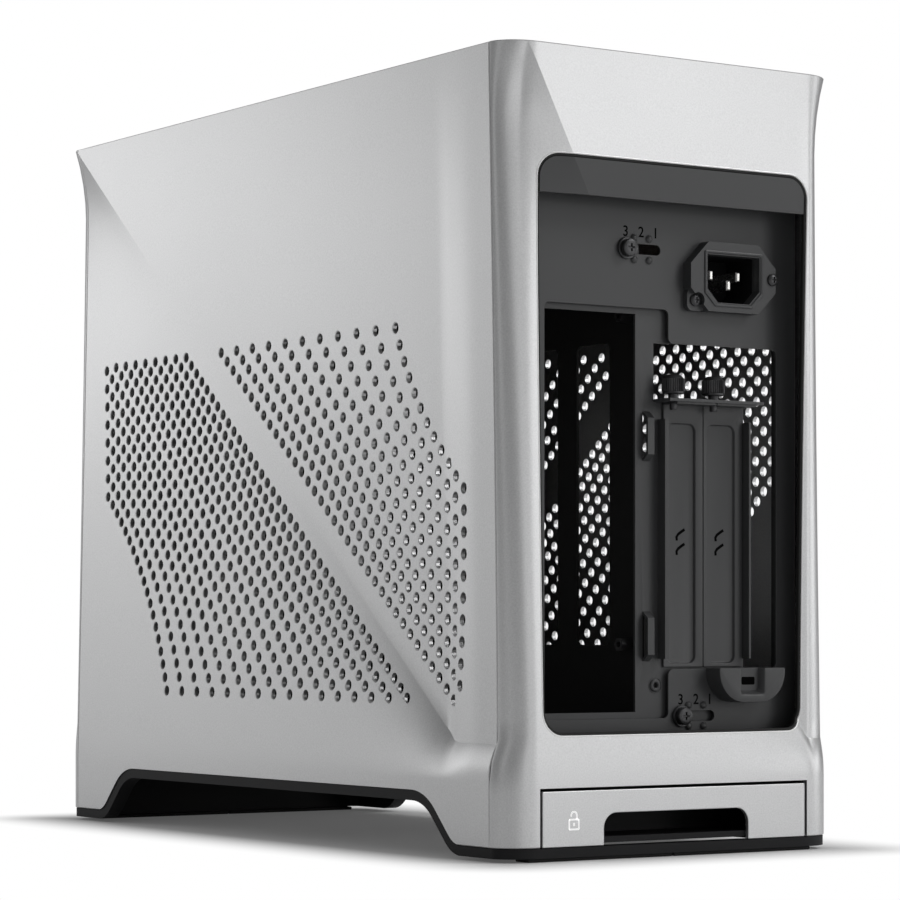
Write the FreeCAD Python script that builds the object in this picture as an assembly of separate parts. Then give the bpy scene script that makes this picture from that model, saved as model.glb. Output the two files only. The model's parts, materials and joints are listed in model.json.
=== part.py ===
import FreeCAD, Part
import math
import os

# Mini-ITX computer case. Millimetres, +Z up, origin on the floor at the middle of the case.
# The front faces -Y, the rear ports face +Y, and the board side is +X.

V = FreeCAD.Vector

# Overall body
body_width = 165.0
body_length = 366.0
body_top = 316.0
skirt_bottom = 5.7
skirt_top = 34.0
corner_radius = 11.65
corner_run = 15.65
corner_ease = 0.5523
panel_wall = 2.0
seam_gap = 0.6
round_share = 0.99
least_edge = 1e-6

# Diagonal crease pressed into each of the four faces
crease_depth = 6.6
crease_fade = 40.0
crease_margin = 10.0
facet_bow = 1.4
facet_shares = (0.3, 0.6, 0.85)
station_shares_start = (0.6, 1.2)
station_shares_end = (1.2, 0.5)
side_lead_top = 6.0
side_lead_bottom = 23.0
end_lead_top = 11.7
end_lead_bottom = 9.5

# Perforation of the side panels, in two fields on either side of the crease
hole_across = 4.5
hole_sides = 6
hole_pitch_y = 19.0
hole_pitch_z = 13.6
field_top = 211.5
field_bottom = 62.0
field_front = -146.5
field_knee = 151.0
lower_field_top_end = -70.0
lower_field_bottom_start = -92.0
lower_field_bottom_end = 107.5
upper_field_top_start = -39.5
upper_field_top_end = 98.5
upper_field_rear = 148.5
upper_field_knee = 144.0
upper_field_bottom_start = 140.0

# Arch under each side, and the base that follows it
arch_top = 26.0
arch_top_room = 56.5
arch_bottom_room = 36.2
arch_round = 24.0
arch_foot_round = 12.0
arch_skim = 0.05
arch_trim = 4.0
base_fit = 0.3
base_inset = 0.5
base_wall = 5.0
pad_height = 1.5
pad_length = 70.0
pad_width = 9.0

# Chassis sheet metal
sheet = 1.2
fit = 0.3
bottom_plate_z = 28.0
bottom_plate_margin = 3.0
fan_bore = 116.0
fan_spacing = 126.0
fan_hole_pitch = 105.0
fan_screw_hole = 4.4
filter_height = 2.4
filter_rim = 8.0
filter_side_room = 16.5
filter_front_room = 33.0
filter_rear_room = 91.0
filter_rib = 2.0
filter_rib_count = 7

# Rear opening, valance and recessed wall
opening_side_room = 17.0
opening_bottom = 48.6
opening_drop = 41.6
opening_round = 9.5
valance_height = 15.4
valance_fit = 0.8
wall_recess = 15.2
wall_sheet = 1.0
wall_side_room = 9.5
wall_flange = 14.0
wall_drop = 24.0
cut_left_room = 19.1
cut_right_room = 10.1
cut_low_room = 2.65
cut_high_room = 2.3
cut_step_x = -7.2
cut_step_drop = 13.5
cut_step_rise = 19.7
cut_round = 2.5

# Sliding spine
spine_travel = 14.7
spine_gap = 1.4
spine_side_room = 5.0
spine_foot_strip = 6.35
spine_head_strip = 8.4
tongue_half = 8.0
tongue_rise = 8.7
window_edge = -1.5
head_edge = -12.0
head_drop = 5.4
port_left = 52.05
port_width = 44.45
port_bottom = 56.85
port_height = 158.75
slot_edge = -5.7
slot_pitch = 20.32
slot_count = 2
slot_gap = 0.16
slot_bottom = 75.2
slot_top = 176.0
slot_lap = 0.8
shelf_top = 182.0
shelf_reach = 11.0
shelf_ear = 2.0
flange_reach = 5.0
flange_bottom = 78.0
flange_top = 174.0
flange_hem = 2.1
flange_sheet = 1.0
flange_gap = 0.2
lance_left = 3.9
lance_right = 0.6
lance_height = 20.0
lance_bottoms = (77.0, 157.0)
lance_rise = 3.5
lance_slope = 2.7
lance_room = 4.5
tray_x = 1.0
tray_depth = 200.2
tray_bottom = 52.0
tray_drop = 9.0
tray_flange = 7.4
tray_flange_bottom = 58.0
tray_flange_top = 176.0
tray_window_bottom = 83.5
tray_window_top = 206.0
tray_window_spans = ((23.2, 45.9), (59.2, 124.2))
cable_slot_length = 90.0
cable_slot_depth = 80.2
cable_slot_width = 16.0
cable_slot_z = 252.0
standoff_height = 6.5
standoff_across = 5.0
standoff_thread = 2.5
standoff_sides = 6
board_rear_edge = 8.6
board_depth_pitch = 154.94
board_low_row = 58.35
board_width_pitch = 157.48
board_rear_step = 25.4

# Slot covers and their thumbscrews
cover_sheet = 0.9
cover_bottom = 74.7
cover_fit = 0.1
emboss_width = 14.1
emboss_shift = 1.0
emboss_bottom = 76.3
emboss_top = 172.5
emboss_round = 3.0
emboss_depth = 1.3
tab_reach = 10.0
thumb_inset = 1.5
thumb_reach = 5.6
thumb_diameter = 11.0
thumb_height = 8.1
thumb_neck = 4.2
thumb_neck_height = 1.9
thumb_shank = 3.0
thumb_hole = 3.6
thumb_tail = 2.3

# Spine clamp screws and rivet
clamp_top_x = 13.9
clamp_top_rise = 17.3
clamp_low_x = -13.5
clamp_low_rise = 4.5
clamp_shank = 3.5
clamp_slot = 4.2
clamp_washer = 8.8
clamp_washer_height = 1.0
clamp_head = 7.0
clamp_head_height = 2.6
clamp_gap = 0.15
rivet_x = -2.2
rivet_z = 67.4
rivet_diameter = 5.0
rivet_height = 1.0
rivet_shank = 3.2

# Mains inlet
inlet_x = -36.7
inlet_height = 28.0
inlet_width = 43.8
inlet_chamfer = 9.0
inlet_proud = 5.0
inlet_aperture_width = 26.8
inlet_aperture_height = 19.2
inlet_aperture_rise = 3.7
inlet_aperture_chamfer = 5.4
inlet_body_wall = 2.0
inlet_body_depth = 20.0
inlet_depth = 17.0
pin_width = 2.0
pin_height = 4.0
pin_length = 16.2
pin_earth_lead = 2.6
pin_chamfer = 0.5
pin_spread = 7.0
pin_drop = 2.0
inlet_screw_low = (18.0, 4.3)
inlet_screw_high = (-20.0, 14.4)
inlet_screw_diameter = 5.0
inlet_screw_height = 1.4
inlet_screw_room = 0.5

# Security lock bracket
lock_side_room = 22.1
lock_width = 34.0
lock_top = 74.3
lock_height = 14.0
lock_round = 12.6
lock_proud = 9.0
lock_slot_width = 7.0
lock_slot_height = 3.0
lock_slot_drop = 4.6

# Release drawer
drawer_side_room = 17.1
drawer_top = 27.3
drawer_fit = 0.6
drawer_face = 2.0
drawer_travel = 18.0
grip_half = 36.0
grip_top = 18.3
grip_round = 6.0
slide_side_room = 5.4
slide_depth = 56.0
slide_roof = 2.4
slide_rail = 4.0
slide_floor = 6.6
slide_finger_depth = 26.0
runner_wall = 2.4
runner_lip = 4.0
runner_length = 40.0

# Top frame, lift-off top panel and port bar
frame_side_room = 9.0
frame_end_room = 8.5
frame_corner = 8.0
frame_rim = 12.0
frame_drop = 10.0
lid_side_room = 6.5
lid_end_room = 6.5
lid_thickness = 7.0
lid_corner = 7.0
vent_count = 23
vent_pitch = 12.0
vent_width = 4.5
vent_half_length = 54.0
bar_depth = 27.0
bar_gap = 0.5
button_x = 44.0
button_diameter = 13.0
button_fit = 0.3
button_proud = 0.8
button_flange = 16.0
button_flange_height = 1.2
button_travel = 1.2
switch_size = 8.0
switch_gap = 0.3
usb_places = (14.0, -6.0)
usb_width = 13.2
usb_depth = 5.8
usb_wall = 0.4
usb_length = 12.0
usb_tongue = 1.8
type_c_place = -26.0
type_c_width = 8.9
type_c_depth = 3.2
jack_place = -44.0
jack_body = 8.0
jack_hole = 3.6
port_pocket_half = 56.0
port_pocket_depth = 18.0

# Power supply bracket and front wall
bracket_room = 4.0
supply_open_width = 44.0
supply_open_height = 100.0
supply_z = 166.0
supply_hole_width = 51.5
supply_hole_height = 113.0
supply_hole = 3.6
front_vent_width = 90.0
front_vent_height = 60.0
front_vent_z = (90.0, 230.0)

# Ball studs and clips that hold the side panels
stud_places = (0.0, 120.0)
stud_rise = 7.0
stud_shank = 3.0
stud_ball = 5.0
stud_head = 3.2
clip_outer = 9.0
clip_bore = 5.6
clip_gap = 0.4

# Derived places
half_width = body_width / 2
half_length = body_length / 2
seam_y = half_length - corner_radius
panel_half = seam_y - seam_gap / 2
shell_start = seam_y + seam_gap / 2
corner_x = half_width - corner_run
arch_half_top = half_length - arch_top_room
arch_half_bottom = half_length - arch_bottom_room
chassis_floor = bottom_plate_z + sheet
filter_half_width = half_width - filter_side_room
filter_front = filter_front_room - half_length
filter_rear = half_length - filter_rear_room
opening_half = half_width - opening_side_room
opening_top = body_top - opening_drop
valance_bottom = opening_top - valance_height
wall_face = half_length - wall_recess
wall_back = wall_face - wall_sheet
wall_half = half_width - wall_side_room
wall_top = body_top - wall_drop
plate_face = wall_back - spine_gap
plate_back = plate_face - sheet
port_right = port_left - port_width
port_top = port_bottom + port_height
slot_far = slot_edge - slot_pitch * slot_count
shelf_bottom = shelf_top - sheet
cut_left = wall_half - cut_left_room
cut_right = cut_right_room - wall_half
cut_bottom = port_bottom - cut_low_room
cut_top = port_top + cut_high_room
cut_step_top = cut_top - cut_step_drop
cut_step_bottom = cut_bottom + cut_step_rise
spine_left = wall_half - spine_side_room
flange_right = slot_far - flange_gap
spine_right = flange_right - flange_sheet
spine_foot = port_bottom - spine_foot_strip
spine_head = port_top + spine_head_strip
clamp_top_z = spine_head + clamp_top_rise
clamp_low_z = spine_foot + clamp_low_rise
tongue_top = clamp_top_z + tongue_rise
head_top = spine_head - head_drop
tray_front = plate_back - tray_depth
tray_top = wall_top - tray_drop
board_rear_row = plate_back - board_rear_edge
bracket_y = tray_front - bracket_room
inlet_bottom = cut_top
inlet_aperture_bottom = inlet_bottom + inlet_aperture_rise
lock_x = lock_side_room - opening_half
drawer_half = half_width - drawer_side_room
slide_half = drawer_half - slide_side_room
frame_half_width = half_width - frame_side_room
frame_half_length = half_length - frame_end_room
frame_top = body_top - frame_drop
lid_half_width = half_width - lid_side_room
lid_half_length = half_length - lid_end_room
stud_z = wall_top + stud_rise


class Face:
    """A creased face of the body, measured along s from its left end as seen from outside."""

    def __init__(self, half, lead_top, lead_bottom):
        self.start = -half + lead_top
        self.end = half - lead_bottom

    def crease_z(self, s):
        """Height of the crease at s, kept off the top edge and off the skirt."""
        share = (s - self.start) / (self.end - self.start)
        height = body_top - share * (body_top - skirt_top)
        return min(max(height, skirt_top + crease_margin), body_top - crease_margin)

    def inset(self, s, z):
        """Depth of the face below its plane."""
        crease = self.crease_z(s)
        if z >= crease:
            share = (body_top - z) / (body_top - crease)
        else:
            share = (z - skirt_top) / (crease - skirt_top)
        bowed = 1 - (1 - min(max(share, 0.0), 1.0)) ** facet_bow
        near = math.hypot(s - self.start, z - body_top) / crease_fade
        far = math.hypot(s - self.end, z - skirt_top) / crease_fade
        fade = (1 - (1 - min(near, 1)) ** 2) * (1 - (1 - min(far, 1)) ** 2)
        return crease_depth * bowed * fade

    def profile(self, s):
        """Points (inset, height) of the vertical profile at s, from skirt to top edge."""
        crease = self.crease_z(s)
        low = [skirt_top + share * (crease - skirt_top) for share in facet_shares]
        high = [body_top - share * (body_top - crease) for share in reversed(facet_shares)]
        heights = [skirt_top] + low + [crease] + high + [body_top]
        return [(self.inset(s, z), z) for z in heights]

    def stations(self, first, last):
        """Places along the face where a profile is taken."""
        inner = [self.start + crease_fade * share for share in station_shares_start]
        inner += [(self.start + self.end) / 2]
        inner += [self.end - crease_fade * share for share in station_shares_end]
        kept = [s for s in inner if first + panel_wall < s < last - panel_wall]
        return [first] + sorted(kept) + [last]


side_face = Face(half_length, side_lead_top, side_lead_bottom)
end_face = Face(half_width, end_lead_top, end_lead_bottom)


def on_side(inset, s, z):
    """A point on the right side face."""
    return V(half_width - inset, s, z)


def on_rear(inset, s, z):
    """A point on the rear face."""
    return V(-s, half_length - inset, z)


def creased_sheet(face, place, first, last, wall):
    """Sheet of constant wall that follows a creased face between two places along it."""
    sections = []
    for s in face.stations(first, last):
        outer = [(0.0, skirt_bottom)] + face.profile(s)
        points = [place(inset, s, z) for inset, z in outer]
        points += [place(inset + wall, s, z) for inset, z in reversed(outer)]
        sections.append(Part.makePolygon(points + points[:1]))
    return Part.makeLoft(sections, True, True)


def height_on(profile, z):
    """Inset of a profile at a height, straight between its points."""
    if z <= profile[0][1]:
        return profile[0][0]
    for (low_inset, low), (high_inset, high) in zip(profile, profile[1:]):
        if z <= high:
            return low_inset + (high_inset - low_inset) * (z - low) / (high - low)
    return profile[-1][0]


def corner_curve(inset_x, inset_y, z, sign_x, sign_y):
    """Quarter-round curve of a body corner, from the seam on the side to the flat of the end."""
    seam = V(half_width - inset_x, shell_start, z)
    flat = V(corner_x, half_length - inset_y, z)
    poles = [seam, seam + V(0, corner_ease * (flat.y - seam.y), 0),
             flat + V(corner_ease * (seam.x - flat.x), 0, 0), flat]
    bezier = Part.BezierCurve()
    bezier.setPoles([V(sign_x * p.x, sign_y * p.y, p.z) for p in poles])
    return bezier


def body_ring(inset, z0, z1):
    """Block with the body's plan outline, moved inwards by inset."""
    corners = [corner_curve(inset, inset, z0, sx, sy) for sx, sy in ((1, 1), (-1, 1), (-1, -1), (1, -1))]
    edges = [corner.toShape() for corner in corners]
    for i, (begin, end) in enumerate(((4, 4), (1, 1), (4, 4), (1, 1))):
        following = corners[(i + 1) % len(corners)]
        edges.append(Part.makeLine(corners[i].getPole(begin), following.getPole(end)))
    wire = Part.Wire(Part.__sortEdges__(edges))
    return Part.Face(wire).extrude(V(0, 0, z1 - z0))


def corner_post(side_profile, rear_profile, sign):
    """Rounded corner of an end shell, from the seam on the side to the flat of the rear."""
    levels = sorted({round(z, 6) for _, z in side_profile + rear_profile} | {skirt_bottom})
    sections = []
    for z in levels:
        a = height_on(side_profile, z)
        b = height_on(rear_profile, z)
        outer = corner_curve(a, b, z, sign, 1)
        inner = corner_curve(a + panel_wall, b + panel_wall, z, sign, 1)
        edges = [outer.toShape(),
                 Part.makeLine(outer.getPole(4), inner.getPole(4)),
                 inner.toShape(),
                 Part.makeLine(inner.getPole(1), outer.getPole(1))]
        sections.append(Part.Wire(Part.__sortEdges__(edges)))
    return Part.makeLoft(sections, True, True)


def box(x0, x1, y0, y1, z0, z1):
    """Block between two corners, in any order."""
    low = V(min(x0, x1), min(y0, y1), min(z0, z1))
    return Part.makeBox(abs(x1 - x0), abs(y1 - y0), abs(z1 - z0), low)


def rod(diameter, height, base, axis):
    """Round bar from a base point along an axis."""
    return Part.makeCylinder(diameter / 2, height, base, axis)


def prism(sides, across, base, length):
    """Regular prism along X, measured across its flats."""
    radius = across / 2 / math.cos(math.pi / sides)
    angles = [2 * math.pi * k / sides for k in range(sides)]
    corners = [base + V(0, radius * math.cos(angle), radius * math.sin(angle)) for angle in angles]
    return Part.Face(Part.makePolygon(corners + corners[:1])).extrude(V(length, 0, 0))


def turned(shape):
    """The same shape half a turn round the case's upright axis."""
    copy = shape.copy()
    copy.rotate(V(0, 0, 0), V(0, 0, 1), 180)
    return copy


def rect(u0, u1, v0, v1, r):
    """Corner list of a rectangle with one corner radius."""
    return [(u0, v0, r), (u1, v0, r), (u1, v1, r), (u0, v1, r)]


def outline(corners, place):
    """Closed wire through corners (u, v, radius), each rounded by its radius."""
    turns = []
    for i, (u, v, r) in enumerate(corners):
        tip = V(u, v, 0)
        back = (V(*corners[i - 1][:2], 0) - tip).normalize()
        ahead = (V(*corners[(i + 1) % len(corners)][:2], 0) - tip).normalize()
        half = back.getAngle(ahead) / 2
        run = r / math.tan(half)
        centre = tip + (back + ahead).normalize() * (r / math.sin(half))
        middle = centre + (tip - centre).normalize() * r if r else tip
        turns.append((tip + back * run, middle, tip + ahead * run))
    edges = []
    for i, (first, middle, last) in enumerate(turns):
        if corners[i][2]:
            edges.append(Part.Arc(place(first), place(middle), place(last)).toShape())
        following = turns[(i + 1) % len(turns)][0]
        if (following - last).Length > least_edge:
            edges.append(Part.makeLine(place(last), place(following)))
    return Part.Wire(edges)


def facing_rear(corners, y0, y1):
    """Plate with an outline in X and Z, between two Y planes."""
    wire = outline(corners, lambda p: V(p.x, y0, p.y))
    return Part.Face(wire).extrude(V(0, y1 - y0, 0))


def facing_side(corners, x0, x1):
    """Plate with an outline in Y and Z, between two X planes."""
    wire = outline(corners, lambda p: V(x0, p.x, p.y))
    return Part.Face(wire).extrude(V(x1 - x0, 0, 0))


def facing_up(corners, z0, z1):
    """Plate with an outline in X and Y, between two Z planes."""
    wire = outline(corners, lambda p: V(p.x, p.y, z0))
    return Part.Face(wire).extrude(V(0, 0, z1 - z0))


def fused(shapes):
    """One solid from several that meet."""
    first, rest = shapes[0], shapes[1:]
    return first.fuse(rest).removeSplitter()


def arch_corners(shrink):
    """Outline of the arch under the sides, moved inwards by shrink."""
    slope = math.atan2(arch_top - skirt_bottom, arch_half_bottom - arch_half_top)
    step = shrink * math.tan(slope / 2)
    brim = skirt_bottom - shrink - arch_skim
    rear = [(half_length, -skirt_bottom, 0.0), (half_length, brim, 0.0),
            (arch_half_bottom - step, brim, arch_foot_round + shrink),
            (arch_half_top - step, arch_top - shrink, arch_round - shrink)]
    return rear + [(-u, v, r) for u, v, r in reversed(rear)]


def field_limits(z):
    """Start and end along Y of the two perforated fields at a height."""
    share = (field_top - z) / (field_top - field_bottom)
    lower_end = lower_field_top_end + share * (lower_field_bottom_end - lower_field_top_end)
    lower_start = field_front
    if z < field_knee:
        knee = (field_knee - z) / (field_knee - field_bottom)
        lower_start = field_front + knee * (lower_field_bottom_start - field_front)
    upper_start = upper_field_top_start + share * (upper_field_bottom_start - upper_field_top_start)
    upper_end = upper_field_rear
    if z > upper_field_knee:
        knee = (z - upper_field_knee) / (field_top - upper_field_knee)
        upper_end = upper_field_rear + knee * (upper_field_top_end - upper_field_rear)
    return (lower_start, lower_end), (upper_start, upper_end)


def perforations():
    """Hole cutters of the right side panel, in staggered rows."""
    rows = int((field_top - field_bottom) / hole_pitch_z) + 1
    cutters = []
    for row in range(rows):
        z = field_top - row * hole_pitch_z
        shift = hole_pitch_y / 2 * (row % 2)
        for start, end in field_limits(z):
            y = start + shift
            while y <= end:
                cutters.append(prism(hole_sides, hole_across, V(0, y, z), body_width))
                y += hole_pitch_y
    return cutters


def right_side_panel():
    """Perforated side panel with the arch in its lower edge."""
    panel = creased_sheet(side_face, on_side, -panel_half, panel_half, panel_wall)
    panel = panel.cut(facing_side(arch_corners(0.0), 0, body_width))
    return panel.cut(Part.makeCompound(perforations()))


def end_shell():
    """Plain end shell, wrapped round both corners to the side seams."""
    plate = creased_sheet(end_face, on_rear, -corner_x, corner_x, panel_wall)
    left_end = corner_post(side_face.profile(shell_start), end_face.profile(-corner_x), 1)
    right_end = corner_post(side_face.profile(-shell_start), end_face.profile(corner_x), -1)
    return fused([plate, left_end, right_end])


def rear_shell():
    """End shell with the rear opening and the notch for the release drawer."""
    opening = rect(-opening_half, opening_half, opening_bottom, opening_top, opening_round)
    notch = drawer_half + drawer_fit
    shell = end_shell().cut(facing_rear(opening, 0, body_length))
    return shell.cut(box(-notch, notch, 0, body_length, 0, drawer_top + drawer_fit))


def rear_valance():
    """Dark sheet that fills the top of the rear opening and folds back to the wall."""
    half = opening_half - valance_fit
    top = opening_top - valance_fit
    corners = rect(-half, half, opening_bottom, top, opening_round - valance_fit)
    keep = facing_rear(corners, 0, body_length)
    keep = keep.common(box(-half, half, 0, body_length, valance_bottom, top))
    skin = creased_sheet(end_face, on_rear, -corner_x, corner_x, panel_wall).common(keep)
    deep = half_length - wall_face + panel_wall
    fold_half = half - opening_round
    fold = creased_sheet(end_face, on_rear, -corner_x, corner_x, deep)
    fold = fold.common(box(-fold_half, fold_half, wall_face, body_length, top - sheet, top))
    return fused([skin, fold])


def base_frame():
    """Moulded base ring that follows the arches and carries the chassis."""
    rim_top = skirt_bottom - base_fit
    flush = body_ring(base_inset, pad_height, rim_top)
    band = facing_side(arch_corners(base_fit), -half_width, half_width)
    band = band.common(body_ring(base_inset, pad_height, arch_top))
    inner = panel_wall + fit
    wall = body_ring(inner, pad_height, bottom_plate_z)
    base = fused([flush, band, wall])
    base = base.cut(body_ring(inner + base_wall, 0, bottom_plate_z))
    base = base.cut(facing_side(arch_corners(base_fit + arch_trim), -body_width, body_width))
    slot = drawer_half + drawer_fit
    return base.cut(box(-slot, slot, 0, body_length, rim_top, bottom_plate_z))


def foot_pads():
    """Four thin pads under the corners of the base."""
    u = half_width - base_inset - corner_radius
    v = half_length - base_inset - panel_wall
    half = pad_length / 2
    pads = []
    for sign in (-1, 1):
        y1 = sign * v
        y0 = sign * (v - pad_width)
        for middle in (-u + half, u - half):
            pads.append(box(middle - half, middle + half, y0, y1, 0, pad_height))
    return Part.makeCompound(pads)


def bottom_plate():
    """Chassis floor with two fan openings and their screw holes."""
    u = half_width - panel_wall - bottom_plate_margin
    v = half_length - panel_wall - bottom_plate_margin
    plate = facing_up(rect(-u, u, -v, v, corner_radius), bottom_plate_z, chassis_floor)
    cuts = []
    for y in (-fan_spacing / 2, fan_spacing / 2):
        cuts.append(rod(fan_bore, body_top, V(0, y, 0), V(0, 0, 1)))
        for dx in (-fan_hole_pitch / 2, fan_hole_pitch / 2):
            for dy in (-fan_hole_pitch / 2, fan_hole_pitch / 2):
                cuts.append(rod(fan_screw_hole, body_top, V(dx, y + dy, 0), V(0, 0, 1)))
    return plate.cut(Part.makeCompound(cuts))


def bottom_filter():
    """Dust filter frame held flat against the chassis floor."""
    z1 = bottom_plate_z
    z0 = z1 - filter_height
    half = filter_half_width
    frame = box(-half, half, filter_front, filter_rear, z0, z1)
    inside = half - filter_rim
    first = filter_front + filter_rim
    last = filter_rear - filter_rim
    frame = frame.cut(box(-inside, inside, first, last, z0, z1))
    ribs = []
    for k in range(1, filter_rib_count + 1):
        y = first + (last - first) * k / (filter_rib_count + 1)
        ribs.append(box(-inside, inside, y - filter_rib / 2, y + filter_rib / 2, z0, z1))
    return fused([frame] + ribs)


def upright_wall(face, back, flange_end):
    """Upright chassis wall between two Y planes, folded along both sides."""
    plate = box(-wall_half, wall_half, back, face, chassis_floor, wall_top)
    left = box(wall_half - sheet, wall_half, flange_end, face, chassis_floor, wall_top)
    right = box(-wall_half, sheet - wall_half, flange_end, face, chassis_floor, wall_top)
    return fused([plate, left, right])


def clamp_slot_cut(x, z):
    """Slot in the rear wall in which a spine clamp screw travels."""
    half = clamp_slot / 2
    corners = rect(x - spine_travel - half - fit, x + half + fit, z - half, z + half, half * round_share)
    return facing_rear(corners, 0, body_length)


def inlet_aperture(y0, y1, grow):
    """Prism of the inlet opening, its lower corners chamfered."""
    u0 = inlet_x - inlet_aperture_width / 2 - grow
    u1 = inlet_x + inlet_aperture_width / 2 + grow
    v0 = inlet_aperture_bottom - grow
    v1 = v0 + inlet_aperture_height + 2 * grow
    c = inlet_aperture_chamfer
    corners = [(u0 + c, v0, 0), (u1 - c, v0, 0), (u1, v0 + c, 0), (u1, v1, 0), (u0, v1, 0), (u0, v0 + c, 0)]
    return facing_rear(corners, y0, y1)


def rear_wall():
    """Fixed rear wall with the stepped cut-out for the spine."""
    wall = upright_wall(wall_face, wall_back, wall_face - wall_flange)
    r = cut_round
    corners = [(cut_left, cut_bottom, r), (cut_left, cut_top, r), (cut_step_x, cut_top, r),
               (cut_step_x, cut_step_top, r), (cut_right, cut_step_top, r),
               (cut_right, cut_step_bottom, r), (cut_step_x, cut_step_bottom, r),
               (cut_step_x, cut_bottom, r)]
    wall = wall.cut(facing_rear(corners, 0, body_length))
    wall = wall.cut(clamp_slot_cut(clamp_top_x, clamp_top_z))
    wall = wall.cut(clamp_slot_cut(clamp_low_x, clamp_low_z))
    wall = wall.cut(inlet_aperture(0, body_length, inlet_body_wall + fit))
    slot = lock_slot_width / 2
    top = lock_top - lock_slot_drop
    return wall.cut(box(lock_x - slot, lock_x + slot, 0, body_length, top - lock_slot_height, top))


def front_wall():
    """Front chassis wall with two cable openings."""
    wall = turned(upright_wall(wall_face, wall_back, wall_face - wall_flange))
    half_u = front_vent_width / 2
    half_v = front_vent_height / 2
    for z in front_vent_z:
        corners = rect(-half_u, half_u, z - half_v, z + half_v, opening_round)
        wall = wall.cut(facing_rear(corners, -body_length, 0))
    return wall


def psu_bracket():
    """Cross wall with the opening and screw holes of a compact power supply."""
    y0 = bracket_y
    y1 = bracket_y + sheet
    half = wall_half - sheet
    plate = box(-half, half, y0, y1, chassis_floor, wall_top)
    foot = box(-half, half, y0 - wall_flange, y1, chassis_floor, chassis_floor + sheet)
    head = box(-half, half, y0 - wall_flange, y1, wall_top - sheet, wall_top)
    bracket = fused([plate, foot, head])
    half_u = supply_open_width / 2
    half_v = supply_open_height / 2
    corners = rect(-half_u, half_u, supply_z - half_v, supply_z + half_v, cut_round)
    cuts = [facing_rear(corners, -body_length, body_length)]
    for dx in (-supply_hole_width / 2, supply_hole_width / 2):
        for dz in (-supply_hole_height / 2, supply_hole_height / 2):
            start = V(dx, -body_length, supply_z + dz)
            cuts.append(rod(supply_hole, 2 * body_length, start, V(0, 1, 0)))
    return bracket.cut(Part.makeCompound(cuts))


def spine_plate():
    """Port and slot plate of the spine, with its shelf, side flanges and lanced bridges."""
    corners = [(spine_right, spine_foot, cut_round), (spine_left, spine_foot, cut_round),
               (spine_left, spine_head, cut_round), (clamp_top_x + tongue_half, spine_head, 0),
               (clamp_top_x + tongue_half, tongue_top, cut_round),
               (clamp_top_x - tongue_half, tongue_top, cut_round),
               (clamp_top_x - tongue_half, spine_head, 0), (window_edge, spine_head, cut_round),
               (window_edge, head_top, 0), (head_edge, head_top, cut_round),
               (head_edge, cut_step_top, cut_round), (window_edge, cut_step_top, 0),
               (window_edge, shelf_top, 0), (spine_right, shelf_top, 0)]
    plate = facing_rear(corners, plate_back, plate_face)
    plate = plate.cut(box(port_right, port_left, 0, body_length, port_bottom, port_top))
    plate = plate.cut(box(slot_far + slot_lap, slot_edge - slot_lap, 0, body_length, slot_bottom, slot_top))
    for z in lance_bottoms:
        plate = plate.cut(box(lance_right, lance_left, 0, body_length, z + sheet, z + lance_height - sheet))
    reach = plate_face + flange_reach
    shelf_end = plate_face + shelf_reach
    additions = [plate, box(spine_right, window_edge, plate_back, shelf_end, shelf_bottom, shelf_top),
                 box(spine_right - shelf_ear, spine_right, wall_face + fit, shelf_end,
                     shelf_bottom, shelf_top),
                 box(slot_edge, slot_edge + flange_hem, plate_back, reach, flange_bottom, flange_top),
                 box(spine_right, flange_right, plate_back, reach, flange_bottom, flange_top)]
    plate = fused(additions + [lance_bridge(z) for z in lance_bottoms])
    holes = [rod(thumb_hole, body_top, V(x, plate_face + thumb_reach, 0), V(0, 0, 1)) for x in thumb_xs()]
    holes += [rod(clamp_shank, body_length, V(x, 0, z), V(0, 1, 0)) for x, z in clamp_places()]
    holes.append(rod(rivet_shank, body_length, V(rivet_x, 0, rivet_z), V(0, 1, 0)))
    return plate.cut(Part.makeCompound(holes))


def lance_bridge(z):
    """Strap pressed out of the spine plate over a slot, with sloping ends."""
    low = plate_face
    high = plate_face + lance_rise
    top = z + lance_height
    outer = [(low, z), (high, z + lance_slope), (high, top - lance_slope), (low, top)]
    inner = [(low, top - sheet), (high - sheet, top - lance_slope - sheet / 2),
             (high - sheet, z + lance_slope + sheet / 2), (low, z + sheet)]
    corners = [V(lance_right, y, height) for y, height in outer + inner]
    return Part.Face(Part.makePolygon(corners + corners[:1])).extrude(V(lance_left - lance_right, 0, 0))


def thumb_xs():
    """X of the two thumbscrews, each near the inner edge of its slot cover."""
    return [slot_edge - k * slot_pitch - thumb_inset for k in range(slot_count)]


def clamp_places():
    """X and Z of the two spine clamp screws."""
    return [(clamp_top_x, clamp_top_z), (clamp_low_x, clamp_low_z)]


def standoff_places():
    """Y and Z of the four mini-ITX board holes."""
    front_row = board_rear_row - board_depth_pitch
    high_row = board_low_row + board_width_pitch
    return [(board_rear_row, board_low_row + board_rear_step), (board_rear_row, high_row),
            (front_row, board_low_row), (front_row, high_row)]


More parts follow.
